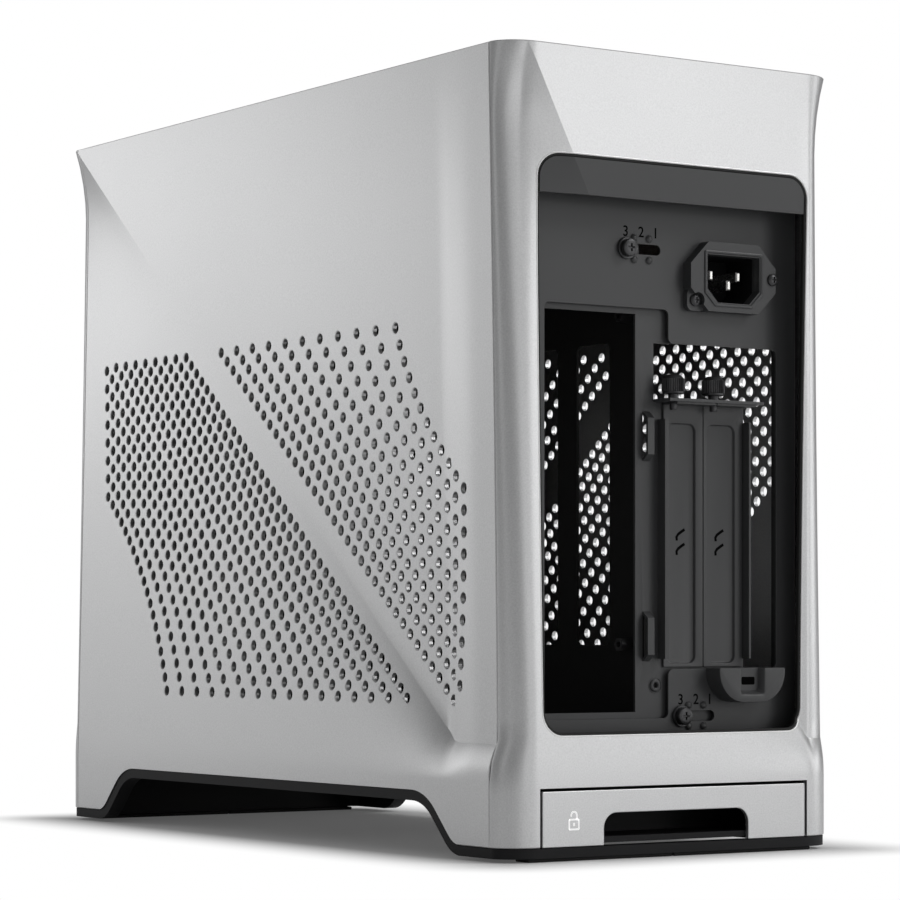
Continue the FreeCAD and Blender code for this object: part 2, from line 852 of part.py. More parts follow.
def spine_tray():
    """Upright divider of the spine, folded at the rear behind the port plate."""
    x1 = tray_x + sheet
    rear = plate_back
    corners = [(tray_front, tray_bottom, cut_round), (rear, tray_bottom, 0), (rear, spine_head, cut_round),
               (rear - wall_flange, tray_top, cut_round), (tray_front, tray_top, cut_round)]
    tray = facing_side(corners, tray_x, x1)
    flange = box(x1 - tray_flange, x1, rear - sheet, rear, tray_flange_bottom, tray_flange_top)
    tray = fused([tray, flange])
    for near, far in tray_window_spans:
        window = rect(rear - far, rear - near, tray_window_bottom, tray_window_top, cut_round)
        tray = tray.cut(facing_side(window, -half_width, half_width))
    slot_y = rear - cable_slot_depth
    half = cable_slot_length / 2
    slot = rect(slot_y - half, slot_y + half,
                cable_slot_z - cable_slot_width / 2, cable_slot_z + cable_slot_width / 2, cut_round)
    tray = tray.cut(facing_side(slot, -half_width, half_width))
    z = max(lance_bottoms)
    tray = tray.cut(box(-half_width, half_width, rear - lance_room, rear, z, z + lance_height))
    return tray.cut(rod(rivet_shank, body_length, V(rivet_x, 0, rivet_z), V(0, 1, 0)))


def board_standoffs():
    """Four hexagonal standoffs on the board side of the tray."""
    x0 = tray_x + sheet
    posts = []
    for y, z in standoff_places():
        post = prism(standoff_sides, standoff_across, V(x0, y, z), standoff_height)
        posts.append(post.cut(rod(standoff_thread, standoff_height, V(x0, y, z), V(1, 0, 0))))
    return Part.makeCompound(posts)


def slot_cover(index):
    """Slot cover on the spine plate, pressed inwards, with its tab folded under the shelf."""
    left = slot_edge - index * slot_pitch - slot_gap
    right = left - slot_pitch + 2 * slot_gap
    y0 = plate_face + cover_fit
    y1 = y0 + cover_sheet
    blank = box(right, left, y0, y1, cover_bottom, shelf_bottom)
    tab = box(right, left, y0, plate_face + tab_reach, shelf_bottom - cover_sheet, shelf_bottom)
    middle = (left + right) / 2 + emboss_shift
    half = emboss_width / 2
    pan = rect(middle - half - cover_sheet, middle + half + cover_sheet, emboss_bottom - cover_sheet,
               emboss_top + cover_sheet, emboss_round + cover_sheet)
    pocket = rect(middle - half, middle + half, emboss_bottom, emboss_top, emboss_round)
    cover = fused([blank, tab, facing_rear(pan, y0 - emboss_depth, y0)])
    cover = cover.cut(facing_rear(pocket, y1 - emboss_depth, y1))
    screw_hole = rod(thumb_hole, body_top, V(thumb_xs()[index], plate_face + thumb_reach, 0), V(0, 0, 1))
    return cover.cut(screw_hole)


def thumbscrew(index):
    """Hand screw that holds a slot cover's tab under the shelf."""
    base = V(thumb_xs()[index], plate_face + thumb_reach, shelf_top)
    neck = rod(thumb_neck, thumb_neck_height, base, V(0, 0, 1))
    head = rod(thumb_diameter, thumb_height, base + V(0, 0, thumb_neck_height), V(0, 0, 1))
    tail = rod(thumb_shank, sheet + cover_sheet + thumb_tail, base, V(0, 0, -1))
    return fused([head, neck, tail])


def spine_screws():
    """Two washer-head screws that clamp the spine to the rear wall."""
    screws = []
    for x, z in clamp_places():
        seat = wall_face + clamp_gap
        washer = rod(clamp_washer, clamp_washer_height, V(x, seat, z), V(0, 1, 0))
        head_base = V(x, seat + clamp_washer_height, z)
        head = rod(clamp_head, clamp_head_height, head_base, V(0, 1, 0))
        shank = rod(clamp_shank, seat - plate_back + sheet, V(x, seat, z), V(0, -1, 0))
        screws.append(fused([washer, head, shank]))
    return Part.makeCompound(screws)


def spine_rivet():
    """Rivet that joins the port plate to the tray's fold."""
    head = rod(rivet_diameter, rivet_height, V(rivet_x, plate_face, rivet_z), V(0, 1, 0))
    shank = rod(rivet_shank, 2 * sheet, V(rivet_x, plate_face, rivet_z), V(0, -1, 0))
    return fused([head, shank])


def inlet_bezel():
    """Eight-sided bezel that stands proud of the rear wall round the mains inlet."""
    u0 = inlet_x - inlet_width / 2
    u1 = inlet_x + inlet_width / 2
    v0 = inlet_bottom
    v1 = inlet_bottom + inlet_height
    c = inlet_chamfer
    corners = [(u0 + c, v0, 0), (u1 - c, v0, 0), (u1, v0 + c, 0), (u1, v1 - c, 0),
               (u1 - c, v1, 0), (u0 + c, v1, 0), (u0, v1 - c, 0), (u0, v0 + c, 0)]
    bezel = facing_rear(corners, wall_face, wall_face + inlet_proud)
    ear = rect(u1 - c, u1, v0, v0 + c, cut_round)
    bezel = fused([bezel, facing_rear(ear, wall_face, wall_face + inlet_proud / 2)])
    bezel = bezel.cut(inlet_aperture(wall_face, wall_face + inlet_proud, 0))
    holes = [rod(inlet_screw_diameter / 2, inlet_proud, V(x, wall_face, z), V(0, 1, 0))
             for x, _, z in inlet_screw_places()]
    notch = inlet_screw_diameter + 2 * inlet_screw_room
    holes += [rod(notch, inlet_proud, V(x, y, z), V(0, 1, 0)) for x, y, z in inlet_screw_places()]
    return bezel.cut(Part.makeCompound(holes))


def inlet_screw_places():
    """Seats of the inlet's two screws, on its ear and on its flank."""
    low_x, low_z = inlet_screw_low
    high_x, high_z = inlet_screw_high
    return [(inlet_x + low_x, wall_face + inlet_proud / 2, inlet_bottom + low_z),
            (inlet_x + high_x, wall_face + inlet_proud, inlet_bottom + high_z)]


def inlet_socket():
    """Socket body behind the wall, open to the rear."""
    body = inlet_aperture(wall_face - inlet_body_depth, wall_face, inlet_body_wall)
    return body.cut(inlet_aperture(wall_face - inlet_depth, wall_face, 0))


def inlet_pins():
    """Three flat contact blades standing in the socket."""
    floor = wall_face - inlet_depth
    middle = inlet_aperture_bottom + inlet_aperture_height / 2
    pins = []
    for dx, dz, lead in ((-pin_spread, pin_drop, 0.0), (0.0, -pin_drop, pin_earth_lead),
                         (pin_spread, pin_drop, 0.0)):
        x = inlet_x + dx
        z = middle + dz
        tip = floor + pin_length + lead
        blade = box(x - pin_width / 2, x + pin_width / 2, floor, tip, z - pin_height / 2, z + pin_height / 2)
        ends = [edge for edge in blade.Edges if edge.BoundBox.YMin > tip - pin_chamfer]
        pins.append(blade.makeChamfer(pin_chamfer, ends))
    return Part.makeCompound(pins)


def inlet_screws():
    """Two pan-head screws of the inlet bezel."""
    screws = []
    for x, y, z in inlet_screw_places():
        head = rod(inlet_screw_diameter, inlet_screw_height, V(x, y, z), V(0, 1, 0))
        shank = rod(inlet_screw_diameter / 2, y - wall_face, V(x, y, z), V(0, -1, 0))
        screws.append(fused([head, shank]))
    return Part.makeCompound(screws)


def lock_bracket():
    """Half-round boss on the rear wall with a slot for a security lock."""
    half = lock_width / 2
    bottom = lock_top - lock_height
    corners = [(lock_x - half, lock_top, 0), (lock_x + half, lock_top, 0),
               (lock_x + half, bottom, lock_round), (lock_x - half, bottom, lock_round)]
    boss = facing_rear(corners, wall_face, wall_face + lock_proud)
    slot = lock_slot_width / 2
    top = lock_top - lock_slot_drop
    return boss.cut(box(lock_x - slot, lock_x + slot, 0, body_length, top - lock_slot_height, top))


def release_face():
    """Metal front of the release drawer with its finger cut-out."""
    plate = box(-drawer_half, drawer_half, half_length - drawer_face, half_length, skirt_bottom, drawer_top)
    low = skirt_bottom - 2 * grip_round
    grip = rect(-grip_half, grip_half, low, grip_top, grip_round)
    return plate.cut(facing_rear(grip, 0, body_length))


def release_slide():
    """Drawer tray behind the metal front, roofed, with two rails and a closed finger pocket."""
    y1 = half_length - drawer_face
    y0 = y1 - slide_depth
    roof = box(-slide_half, slide_half, y0, y1, drawer_top - slide_roof, drawer_top)
    rail = slide_half - slide_rail
    left = box(rail, slide_half, y0, y1, slide_floor, drawer_top)
    right = box(-slide_half, -rail, y0, y1, slide_floor, drawer_top)
    finger = y1 - slide_finger_depth
    wall = box(-slide_half, slide_half, finger - slide_roof, finger, slide_floor, drawer_top)
    floor = box(-slide_half, slide_half, finger - slide_roof, y1, slide_floor, slide_floor + slide_roof)
    return fused([roof, left, right, wall, floor])


def release_runners():
    """Two angle runners under the chassis floor that guide the drawer."""
    inner = slide_half + fit
    outer = inner + runner_wall
    y1 = half_length - base_wall - panel_wall - fit - drawer_travel
    y0 = y1 - runner_length
    lip_top = slide_floor - fit
    runner = fused([box(inner, outer, y0, y1, lip_top - runner_wall, bottom_plate_z),
                    box(inner - runner_lip, outer, y0, y1, lip_top - runner_wall, lip_top)])
    mirrored = runner.mirror(V(0, 0, 0), V(1, 0, 0))
    return Part.makeCompound([runner, mirrored])


def top_frame():
    """Moulded ring on the chassis walls that carries the top panel and the port bar."""
    u = frame_half_width
    v = frame_half_length
    frame = facing_up(rect(-u, u, -v, v, frame_corner), wall_top, frame_top)
    front = -v + bar_depth
    hole = rect(-u + frame_rim, u - frame_rim, front, v - frame_rim, frame_corner)
    frame = frame.cut(facing_up(hole, wall_top, frame_top))
    middle = bar_middle()
    half = port_pocket_depth / 2
    pocket = box(-port_pocket_half, port_pocket_half, middle - half, middle + half, wall_top, frame_top)
    return frame.cut(pocket)


def bar_middle():
    """Y of the row of ports."""
    return -lid_half_length + bar_depth / 2


def top_panel():
    """Lift-off top panel with cross vents."""
    first = -lid_half_length + bar_depth + bar_gap
    corners = rect(-lid_half_width, lid_half_width, first, lid_half_length, lid_corner)
    lid = facing_up(corners, frame_top, frame_top + lid_thickness)
    middle = (first + lid_half_length) / 2
    vents = []
    for k in range(vent_count):
        y = middle + (k - (vent_count - 1) / 2) * vent_pitch
        vents.append(box(-vent_half_length, vent_half_length, y - vent_width / 2, y + vent_width / 2,
                         frame_top, frame_top + lid_thickness))
    return lid.cut(Part.makeCompound(vents))


def top_port_bar():
    """Moulded bar in front of the top panel with its button and port holes."""
    y0 = -lid_half_length
    corners = rect(-lid_half_width, lid_half_width, y0, y0 + bar_depth, lid_corner)
    z1 = frame_top + lid_thickness
    bar = facing_up(corners, frame_top, z1)
    middle = bar_middle()
    cuts = [rod(button_diameter + 2 * button_fit, body_top, V(button_x, middle, 0), V(0, 0, 1))]
    for x in usb_places:
        cuts.append(box(x - usb_width / 2, x + usb_width / 2,
                        middle - usb_depth / 2, middle + usb_depth / 2, 0, body_top))
    half = type_c_width / 2
    round_end = type_c_depth / 2 * round_share
    cuts.append(facing_up(rect(type_c_place - half, type_c_place + half, middle - type_c_depth / 2,
                               middle + type_c_depth / 2, round_end), 0, body_top))
    cuts.append(rod(jack_hole, body_top, V(jack_place, middle, 0), V(0, 0, 1)))
    return bar.cut(Part.makeCompound(cuts))


def power_button():
    """Round push button, held under the bar by its flange."""
    middle = bar_middle()
    top = frame_top + lid_thickness + button_proud
    flange_top_z = frame_top - button_fit
    cap = rod(button_diameter, top - flange_top_z, V(button_x, middle, flange_top_z), V(0, 0, 1))
    flange = rod(button_flange, button_flange_height, V(button_x, middle, flange_top_z), V(0, 0, -1))
    return fused([cap, flange])


def power_switch():
    """Switch block under the button, hung on a bridge from the bar's underside."""
    middle = bar_middle()
    top = frame_top - button_fit - button_flange_height - button_travel - switch_gap
    half = switch_size / 2
    block = box(button_x - half, button_x + half, middle - half, middle + half, wall_top, top)
    arm = button_flange / 2 + button_fit
    leg = sheet
    bridge = box(button_x - arm - leg, button_x + arm + leg, middle - half, middle + half, wall_top,
                 wall_top + leg)
    left = box(button_x - arm - leg, button_x - arm, middle - half, middle + half, wall_top, frame_top)
    right = box(button_x + arm, button_x + arm + leg, middle - half, middle + half, wall_top, frame_top)
    return fused([block, bridge, left, right])


def usb_ports():
    """Metal port shells with their tongues, hung in the bar's holes."""
    middle = bar_middle()
    z1 = frame_top + lid_thickness
    z0 = z1 - usb_length
    ports = []
    for x in usb_places:
        u = usb_width / 2
        v = usb_depth / 2
        shell = box(x - u, x + u, middle - v, middle + v, z0, z1)
        shell = shell.cut(box(x - u + usb_wall, x + u - usb_wall,
                              middle - v + usb_wall, middle + v - usb_wall, z0 + sheet, z1))
        tongue = box(x - u + sheet, x + u - sheet, middle - usb_tongue / 2, middle + usb_tongue / 2,
                     z0, z1 - sheet)
        ports.append(fused([shell, tongue]))
    u = type_c_width / 2
    v = type_c_depth / 2
    round_end = v * round_share
    shell = facing_up(rect(type_c_place - u, type_c_place + u, middle - v, middle + v, round_end), z0, z1)
    inner = facing_up(rect(type_c_place - u + usb_wall, type_c_place + u - usb_wall, middle - v + usb_wall,
                           middle + v - usb_wall, round_end - usb_wall), z0 + sheet, z1)
    ports.append(shell.cut(inner))
    return Part.makeCompound(ports)


def audio_jack():
    """Jack body under the bar, bored for a headphone plug."""
    middle = bar_middle()
    half = jack_body / 2
    body = box(jack_place - half, jack_place + half, middle - half, middle + half, wall_top, frame_top)
    floor = wall_top + sheet
    return body.cut(rod(jack_hole, frame_top - floor, V(jack_place, middle, floor), V(0, 0, 1)))


def panel_studs():
    """Ball studs on the top frame, two for each side panel."""
    studs = []
    for y in stud_places:
        tip = half_width - panel_wall - side_face.inset(y, stud_z) - clip_gap
        middle = tip - stud_head / 2
        neck = V(frame_half_width, y, stud_z)
        axis = V(1, 0, 0)
        shank = rod(stud_shank, tip - stud_head - frame_half_width, neck, axis)
        base = V(tip - stud_head, y, stud_z)
        rise = Part.makeCone(stud_shank / 2, stud_ball / 2, stud_head / 2, base, axis)
        fall = Part.makeCone(stud_ball / 2, stud_shank / 2, stud_head / 2, V(middle, y, stud_z), axis)
        stud = fused([shank, rise, fall])
        studs += [stud, turned(stud)]
    return Part.makeCompound(studs)


def panel_clips():
    """Spring cups on the inside of the right side panel that snap over the ball studs."""
    clips = []
    for y in stud_places:
        inner = half_width - panel_wall - side_face.inset(y, stud_z)
        length = inner - frame_half_width - clip_gap
        cup = rod(clip_outer, length + panel_wall, V(frame_half_width + clip_gap, y, stud_z), V(1, 0, 0))
        cup = cup.cut(rod(clip_bore, length, V(frame_half_width + clip_gap, y, stud_z), V(1, 0, 0)))
        outside = creased_sheet(side_face, on_side, -panel_half, panel_half, panel_wall)
        clips += [s for s in cup.cut(outside).Solids if s.BoundBox.XMin < inner - clip_gap]
    return Part.makeCompound(clips)


def main():
    """Build every piece and write it out under its own name."""
    os.makedirs("parts", exist_ok=True)
    right_panel = right_side_panel()
    right_clips = panel_clips()
    pieces = {
        "right_side_panel": right_panel,
        "left_side_panel": turned(right_panel),
        "right_panel_clips": right_clips,
        "left_panel_clips": turned(right_clips),
        "panel_studs": panel_studs(),
        "rear_shell": rear_shell(),
        "front_shell": turned(end_shell()),
        "rear_valance": rear_valance(),
        "base_frame": base_frame(),
        "foot_pads": foot_pads(),
        "bottom_plate": bottom_plate(),
        "bottom_filter": bottom_filter(),
        "rear_wall": rear_wall(),
        "front_wall": front_wall(),
        "psu_bracket": psu_bracket(),
        "spine_plate": spine_plate(),
        "spine_tray": spine_tray(),
        "board_standoffs": board_standoffs(),
        "slot_cover_inner": slot_cover(0),
        "slot_cover_outer": slot_cover(1),
        "thumbscrew_inner": thumbscrew(0),
        "thumbscrew_outer": thumbscrew(1),
        "spine_screws": spine_screws(),
        "spine_rivet": spine_rivet(),
        "inlet_bezel": inlet_bezel(),
        "inlet_socket": inlet_socket(),
        "inlet_pins": inlet_pins(),
        "inlet_screws": inlet_screws(),
        "lock_bracket": lock_bracket(),
        "release_face": release_face(),
        "release_slide": release_slide(),
        "release_runners": release_runners(),
        "top_frame": top_frame(),
        "top_panel": top_panel(),
        "top_port_bar": top_port_bar(),
        "power_button": power_button(),
        "power_switch": power_switch(),
        "usb_ports": usb_ports(),
        "audio_jack": audio_jack(),
    }
    for name, shape in pieces.items():
        solids = len(shape.Solids)
        print(f"{name}: {solids} solid(s), valid {shape.isValid()}, {shape.Volume / 1000:.2f} cm3")
        shape.exportStep(f"parts/{name}.step")


main()
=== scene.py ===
"""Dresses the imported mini-ITX computer case: creased silver panels, dark recessed rear, black base."""
import json
import logging
import math
from dataclasses import dataclass
from enum import Enum
from functools import partialmethod
from typing import Callable, Iterable, Sequence

import bmesh
import bpy
from mathutils import Matrix, Vector


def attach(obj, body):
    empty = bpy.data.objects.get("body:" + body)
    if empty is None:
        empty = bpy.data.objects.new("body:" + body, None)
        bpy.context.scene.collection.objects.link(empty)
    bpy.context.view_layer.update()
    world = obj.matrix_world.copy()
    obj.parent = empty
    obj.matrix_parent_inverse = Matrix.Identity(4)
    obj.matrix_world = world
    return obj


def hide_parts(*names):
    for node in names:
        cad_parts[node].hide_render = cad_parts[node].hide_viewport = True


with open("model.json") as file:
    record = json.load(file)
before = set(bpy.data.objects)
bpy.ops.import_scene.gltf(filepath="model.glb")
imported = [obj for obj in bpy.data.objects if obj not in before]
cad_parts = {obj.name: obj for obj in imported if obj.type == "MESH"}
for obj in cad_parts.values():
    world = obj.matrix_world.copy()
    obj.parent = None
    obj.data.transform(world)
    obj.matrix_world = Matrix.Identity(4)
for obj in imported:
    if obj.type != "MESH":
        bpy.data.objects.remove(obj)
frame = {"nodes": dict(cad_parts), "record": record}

log = logging.getLogger("case")

MM = 0.001
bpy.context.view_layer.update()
SMOOTH_ANGLE = math.radians(28.0)
SOFT_ANGLE = math.radians(12.0)
WELD = 1e-7
HALF_WIDTH = 82.5
HALF_LENGTH = 183.0
SHEET_WALL = 2.0
SHEET_CHAMFER = 0.35
CUT_REACH = (150.0, 200.0)
ORIGIN = (0.0, 0.0, 0.0)
WHITE = (1.0, 1.0, 1.0)
AXIS_X = Vector((1.0, 0.0, 0.0))
AXIS_Y = Vector((0.0, 1.0, 0.0))

Point2 = tuple[float, float]
Triple = tuple[float, float, float]
Points = tuple[Point2, ...]
Rings = Sequence[Sequence[Vector]]
Mesh = bpy.types.Mesh
BMesh = bmesh.types.BMesh
Material = bpy.types.Material
SceneObject = bpy.types.Object


class Body(Enum):
    """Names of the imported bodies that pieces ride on."""

    CHASSIS = "chassis"
    SPINE = "spine"
    DRAWER = "release_drawer"
    RIGHT = "right_panel"
    LEFT = "left_panel"


class Slot(Enum):
    """Names of the record's material slots."""

    SILVER = "silver_panel"
    STEEL = "dark_steel"
    INSIDE = "black_steel"
    PLASTIC = "black_plastic"
    SCREW = "black_screw"
    BRIGHT = "bright_metal"
    PAD = "pad_rubber"
    MESH = "filter_mesh"
    WOOD = "walnut"
    CAP = "button_cap"


class Wire:
    """A node's value that takes part in Python maths by adding Math nodes."""

    def __init__(self, sheet: "NodeSheet", socket: bpy.types.NodeSocket) -> None:
        """Keep the sheet and the socket the value comes from."""
        self.sheet = sheet
        self.socket = socket

    def _math(self, operation: str, other: object, swapped: bool = False) -> "Wire":
        """Add one Math node of this value and another wire or number, in either order."""
        pair = (other, self) if swapped else (self, other)
        return self.sheet.node("ShaderNodeMath", {"operation": operation}, dict(enumerate(pair)))

    __add__ = partialmethod(_math, "ADD")
    __radd__ = partialmethod(_math, "ADD", swapped=True)
    __sub__ = partialmethod(_math, "SUBTRACT")
    __mul__ = partialmethod(_math, "MULTIPLY")
    __rmul__ = partialmethod(_math, "MULTIPLY", swapped=True)
    __truediv__ = partialmethod(_math, "DIVIDE")
    __rtruediv__ = partialmethod(_math, "DIVIDE", swapped=True)


class NodeSheet:
    """A node tree while it is drawn."""

    def __init__(self, tree: bpy.types.NodeTree) -> None:
        """Keep the tree that nodes are added to."""
        self.tree = tree

    def add(self, kind: str, settings: dict, inputs: dict) -> bpy.types.Node:
        """Add any node.

        Args:
            kind: the node's type name.
            settings: attributes that are set first; a ramp's stops are given as "stops".
            inputs: values or wires by socket name or number.

        Returns:
            The node.
        """
        made = self.tree.nodes.new(kind)
        for key, value in settings.items():
            if key == "stops":
                self._stops(made, value)
            else:
                setattr(made, key, value)
        for key, value in inputs.items():
            if isinstance(value, Wire):
                self.tree.links.new(value.socket, made.inputs[key])
            else:
                made.inputs[key].default_value = value
        return made

    def node(self, kind: str, settings: dict, inputs: dict, output: object = 0) -> Wire:
        """Add any node and give one of its outputs as a wire."""
        return Wire(self, self.add(kind, settings, inputs).outputs[output])

    def _stops(self, ramp: bpy.types.Node, stops: Sequence[tuple[float, tuple]]) -> None:
        """Give a colour ramp its stops.

        Args:
            ramp: the ramp's node.
            stops: place and colour of each stop.
        """
        elements = ramp.color_ramp.elements
        while len(elements) < len(stops):
            elements.new(0.5)
        for element, (place, colour) in zip(elements, stops):
            element.position = place
            element.color = colour

    def rays(self, kind: str) -> Wire:
        """Whether the ray is of a kind, such as "Camera"."""
        return self.node("ShaderNodeLightPath", {}, {}, "Is " + kind + " Ray")

    def mixed_shaders(self, share: Wire, first: Wire, second: Wire) -> Wire:
        """Shader between two shaders, by a share."""
        return self.node("ShaderNodeMixShader", {}, {0: share, 1: first, 2: second})


class ShaderSheet(NodeSheet):
    """One material while it is drawn: its tree and its shader."""

    def __init__(self, name: str) -> None:
        """Start a material with a single Principled shader.

        Args:
            name: the material's name.
        """
        self.material = bpy.data.materials.new(name)
        self.material.use_nodes = True
        super().__init__(self.material.node_tree)
        self.shader = next(n for n in self.tree.nodes if n.type == "BSDF_PRINCIPLED")

    def object_place(self) -> Wire:
        """Object coordinates, in metres."""
        return self.node("ShaderNodeTexCoord", {}, {}, "Object")

    def scaled(self, place: Wire, scale: Sequence[float]) -> Wire:
        """Object coordinates stretched along each axis."""
        return self.node("ShaderNodeMapping", {}, {"Vector": place, "Scale": scale})

    def noise(self, place: Wire, scale: float, detail: float) -> Wire:
        """Even noise between 0 and 1."""
        return self.node("ShaderNodeTexNoise", {}, {"Vector": place, "Scale": scale, "Detail": detail}, "Fac")

    def streaks(self, place: Wire, scale: Sequence[float], detail: float) -> Wire:
        """Noise drawn out along an axis by its scales."""
        return self.noise(self.scaled(place, scale), 1.0, detail)

    def mixed(self, share: Wire, first: Sequence[float], second: Sequence[float]) -> Wire:
        """Colour between two colours, by a share."""
        inputs = {0: share, 6: (*first, 1.0), 7: (*second, 1.0)}
        return self.node("ShaderNodeMix", {"data_type": "RGBA"}, inputs, 2)

    def bumped(self, height: Wire, strength: float, distance: float) -> Wire:
        """Normal disturbed by a height."""
        return self.node("ShaderNodeBump", {}, {"Height": height, "Strength": strength, "Distance": distance})

    def vector(self, operation: str, first: Wire, second: object = ORIGIN, output: str = "Vector") -> Wire:
        """Result of one Vector Math node."""
        return self.node("ShaderNodeVectorMath", {"operation": operation}, {0: first, 1: second}, output)

    def feed(self, socket: str, value: object) -> None:
        """Set or link one socket of the shader.

        Args:
            socket: the socket's name.
            value: a wire, a number or a colour of three numbers.
        """
        target = self.shader.inputs[socket]
        if isinstance(value, Wire):
            self.tree.links.new(value.socket, target)
        elif isinstance(value, tuple):
            target.default_value = (*value, 1.0)
        else:
            target.default_value = value


@dataclass(frozen=True)
class GrainedFinish:
    """A finish with a fine grain: blasted metal, powder coat or moulded texture."""

    name: str
    light: Triple
    dark: Triple
    metallic: float
    roughness: float
    roughness_spread: float
    grain_scale: float
    grain_depth: float
    grain_strength: float = 0.25
    patch_scale: float = 18.0
    patch_share: float = 0.5
    specular: float = 0.5
    # glow: strength of white emission that paints light into the finish; only the pale print uses it, as a
    # painted sheen
    glow: float = 0.0
    grain_detail: float = 2.0
    patch_detail: float = 3.0

    def build(self) -> Material:
        """Draw the material.

        Returns:
            The finished material.
        """
        sheet = ShaderSheet(self.name)
        place = sheet.object_place()
        grain = sheet.noise(place, self.grain_scale, self.grain_detail)
        patch = sheet.noise(place, self.patch_scale, self.patch_detail)
        tone = (1 - self.patch_share) * grain + self.patch_share * patch
        sheet.feed("Base Color", sheet.mixed(tone, self.dark, self.light))
        sheet.feed("Roughness", self.roughness + (grain - 0.5) * self.roughness_spread)
        sheet.feed("Metallic", self.metallic)
        sheet.feed("Specular IOR Level", self.specular)
        # Emission paints light into the finish wherever glow is above zero
        sheet.feed("Emission Color", WHITE)
        sheet.feed("Emission Strength", self.glow)
        sheet.feed("Normal", sheet.bumped(grain, self.grain_strength, self.grain_depth))
        return sheet.material


@dataclass(frozen=True)
class BrushedFinish:
    """Bright plated metal with fine lines along one axis."""

    name: str
    light: Triple
    dark: Triple
    roughness: float
    line_scale: Triple
    line_detail: float = 2.0
    roughness_spread: float = 0.2
    line_strength: float = 0.15
    line_depth: float = 0.00002

    def build(self) -> Material:
        """Draw the material.

        Returns:
            The finished material.
        """
        sheet = ShaderSheet(self.name)
        lines = sheet.streaks(sheet.object_place(), self.line_scale, self.line_detail)
        sheet.feed("Base Color", sheet.mixed(lines, self.dark, self.light))
        sheet.feed("Roughness", self.roughness + (lines - 0.5) * self.roughness_spread)
        sheet.feed("Metallic", 1.0)
        sheet.feed("Normal", sheet.bumped(lines, self.line_strength, self.line_depth))
        return sheet.material


@dataclass(frozen=True)
class WoodFinish:
    """Oiled walnut with its grain along the case."""

    name: str
    light: Triple
    dark: Triple
    warp_scale: Triple = (14.0, 2.0, 14.0)
    fibre_scale: Triple = (900.0, 18.0, 900.0)
    ring_scale: Triple = (95.0, 2.6, 60.0)
    ring_share: float = 0.6
    fibre_share: float = 0.25
    warp_share: float = 0.25
    dark_stop: float = 0.3
    light_stop: float = 0.72
    roughness: float = 0.42
    roughness_spread: float = 0.2
    fibre_strength: float = 0.2
    fibre_depth: float = 0.00012

    def build(self) -> Material:
        """Draw the material.

        Returns:
            The finished material.
        """
        sheet = ShaderSheet(self.name)
        place = sheet.object_place()
        warp = sheet.streaks(place, self.warp_scale, detail=2.0)
        fibre = sheet.streaks(place, self.fibre_scale, detail=3.0)
        rings = sheet.streaks(place, self.ring_scale, detail=4.0)
        tone = rings * self.ring_share + fibre * self.fibre_share + warp * self.warp_share
        stops = ((self.dark_stop, (*self.dark, 1.0)), (self.light_stop, (*self.light, 1.0)))
        sheet.feed("Base Color", sheet.node("ShaderNodeValToRGB", {"stops": stops}, {"Fac": tone}))
        sheet.feed("Roughness", self.roughness + fibre * self.roughness_spread)
        sheet.feed("Normal", sheet.bumped(fibre, self.fibre_strength, self.fibre_depth))
        return sheet.material


SILVER = GrainedFinish("blasted_silver", (0.80, 0.803, 0.808), (0.54, 0.543, 0.548), 0.9, 0.37, 0.12,
                       1700.0, 0.00005, 0.3, patch_share=0.12)
# Near-white and less metallic than the silver: the painted highlight of the opening's rim
PAINTED_HIGHLIGHT_EDGE = GrainedFinish("cut_silver_edge", (0.97, 0.97, 0.97), (0.93, 0.93, 0.93), 0.3, 0.45, 0.08,
                         3000.0, 0.00002)
STEEL = GrainedFinish("charcoal_powder_coat", (0.058, 0.059, 0.061), (0.046, 0.047, 0.049), 0.0, 0.44, 0.16,
                      4200.0, 0.00006, 0.35)
# Inside finish: the record's black steel, made darker than real black paint so that it also paints the shade
# inside the case
INSIDE = GrainedFinish("black_powder_coat", (0.006, 0.006, 0.006), (0.003, 0.003, 0.003), 0.0, 0.7, 0.16,
                       4200.0, 0.00006, 0.3)
PLASTIC = GrainedFinish("moulded_black", (0.013, 0.013, 0.014), (0.008, 0.008, 0.009), 0.0, 0.5, 0.16,
                        3600.0, 0.00006, 0.3, specular=0.2)
BEZEL = GrainedFinish("moulded_charcoal", (0.055, 0.056, 0.058), (0.042, 0.043, 0.045), 0.0, 0.42, 0.14,
                      3600.0, 0.00005, 0.3)
SCREW = GrainedFinish("black_oxide", (0.085, 0.085, 0.088), (0.05, 0.05, 0.052), 0.7, 0.34, 0.14,
                      3000.0, 0.00003)
RUBBER = GrainedFinish("pad_rubber", (0.018, 0.018, 0.018), (0.012, 0.012, 0.012), 0.0, 0.75, 0.1,
                       2600.0, 0.00008, 0.4)
NYLON = GrainedFinish("nylon_weave", (0.03, 0.03, 0.031), (0.02, 0.02, 0.021), 0.0, 0.6, 0.1,
                      2600.0, 0.00004)
# Near-black ink: the numerals' print, and also the black patches that paint the shade seen through the lock's
# slot and the covers' slits
INK_AND_PAINTED_SHADE = GrainedFinish("black_ink", (0.002, 0.002, 0.002), (0.001, 0.001, 0.001), 0.0, 0.95, 0.05,
                    3000.0, 0.00001, specular=0.05)
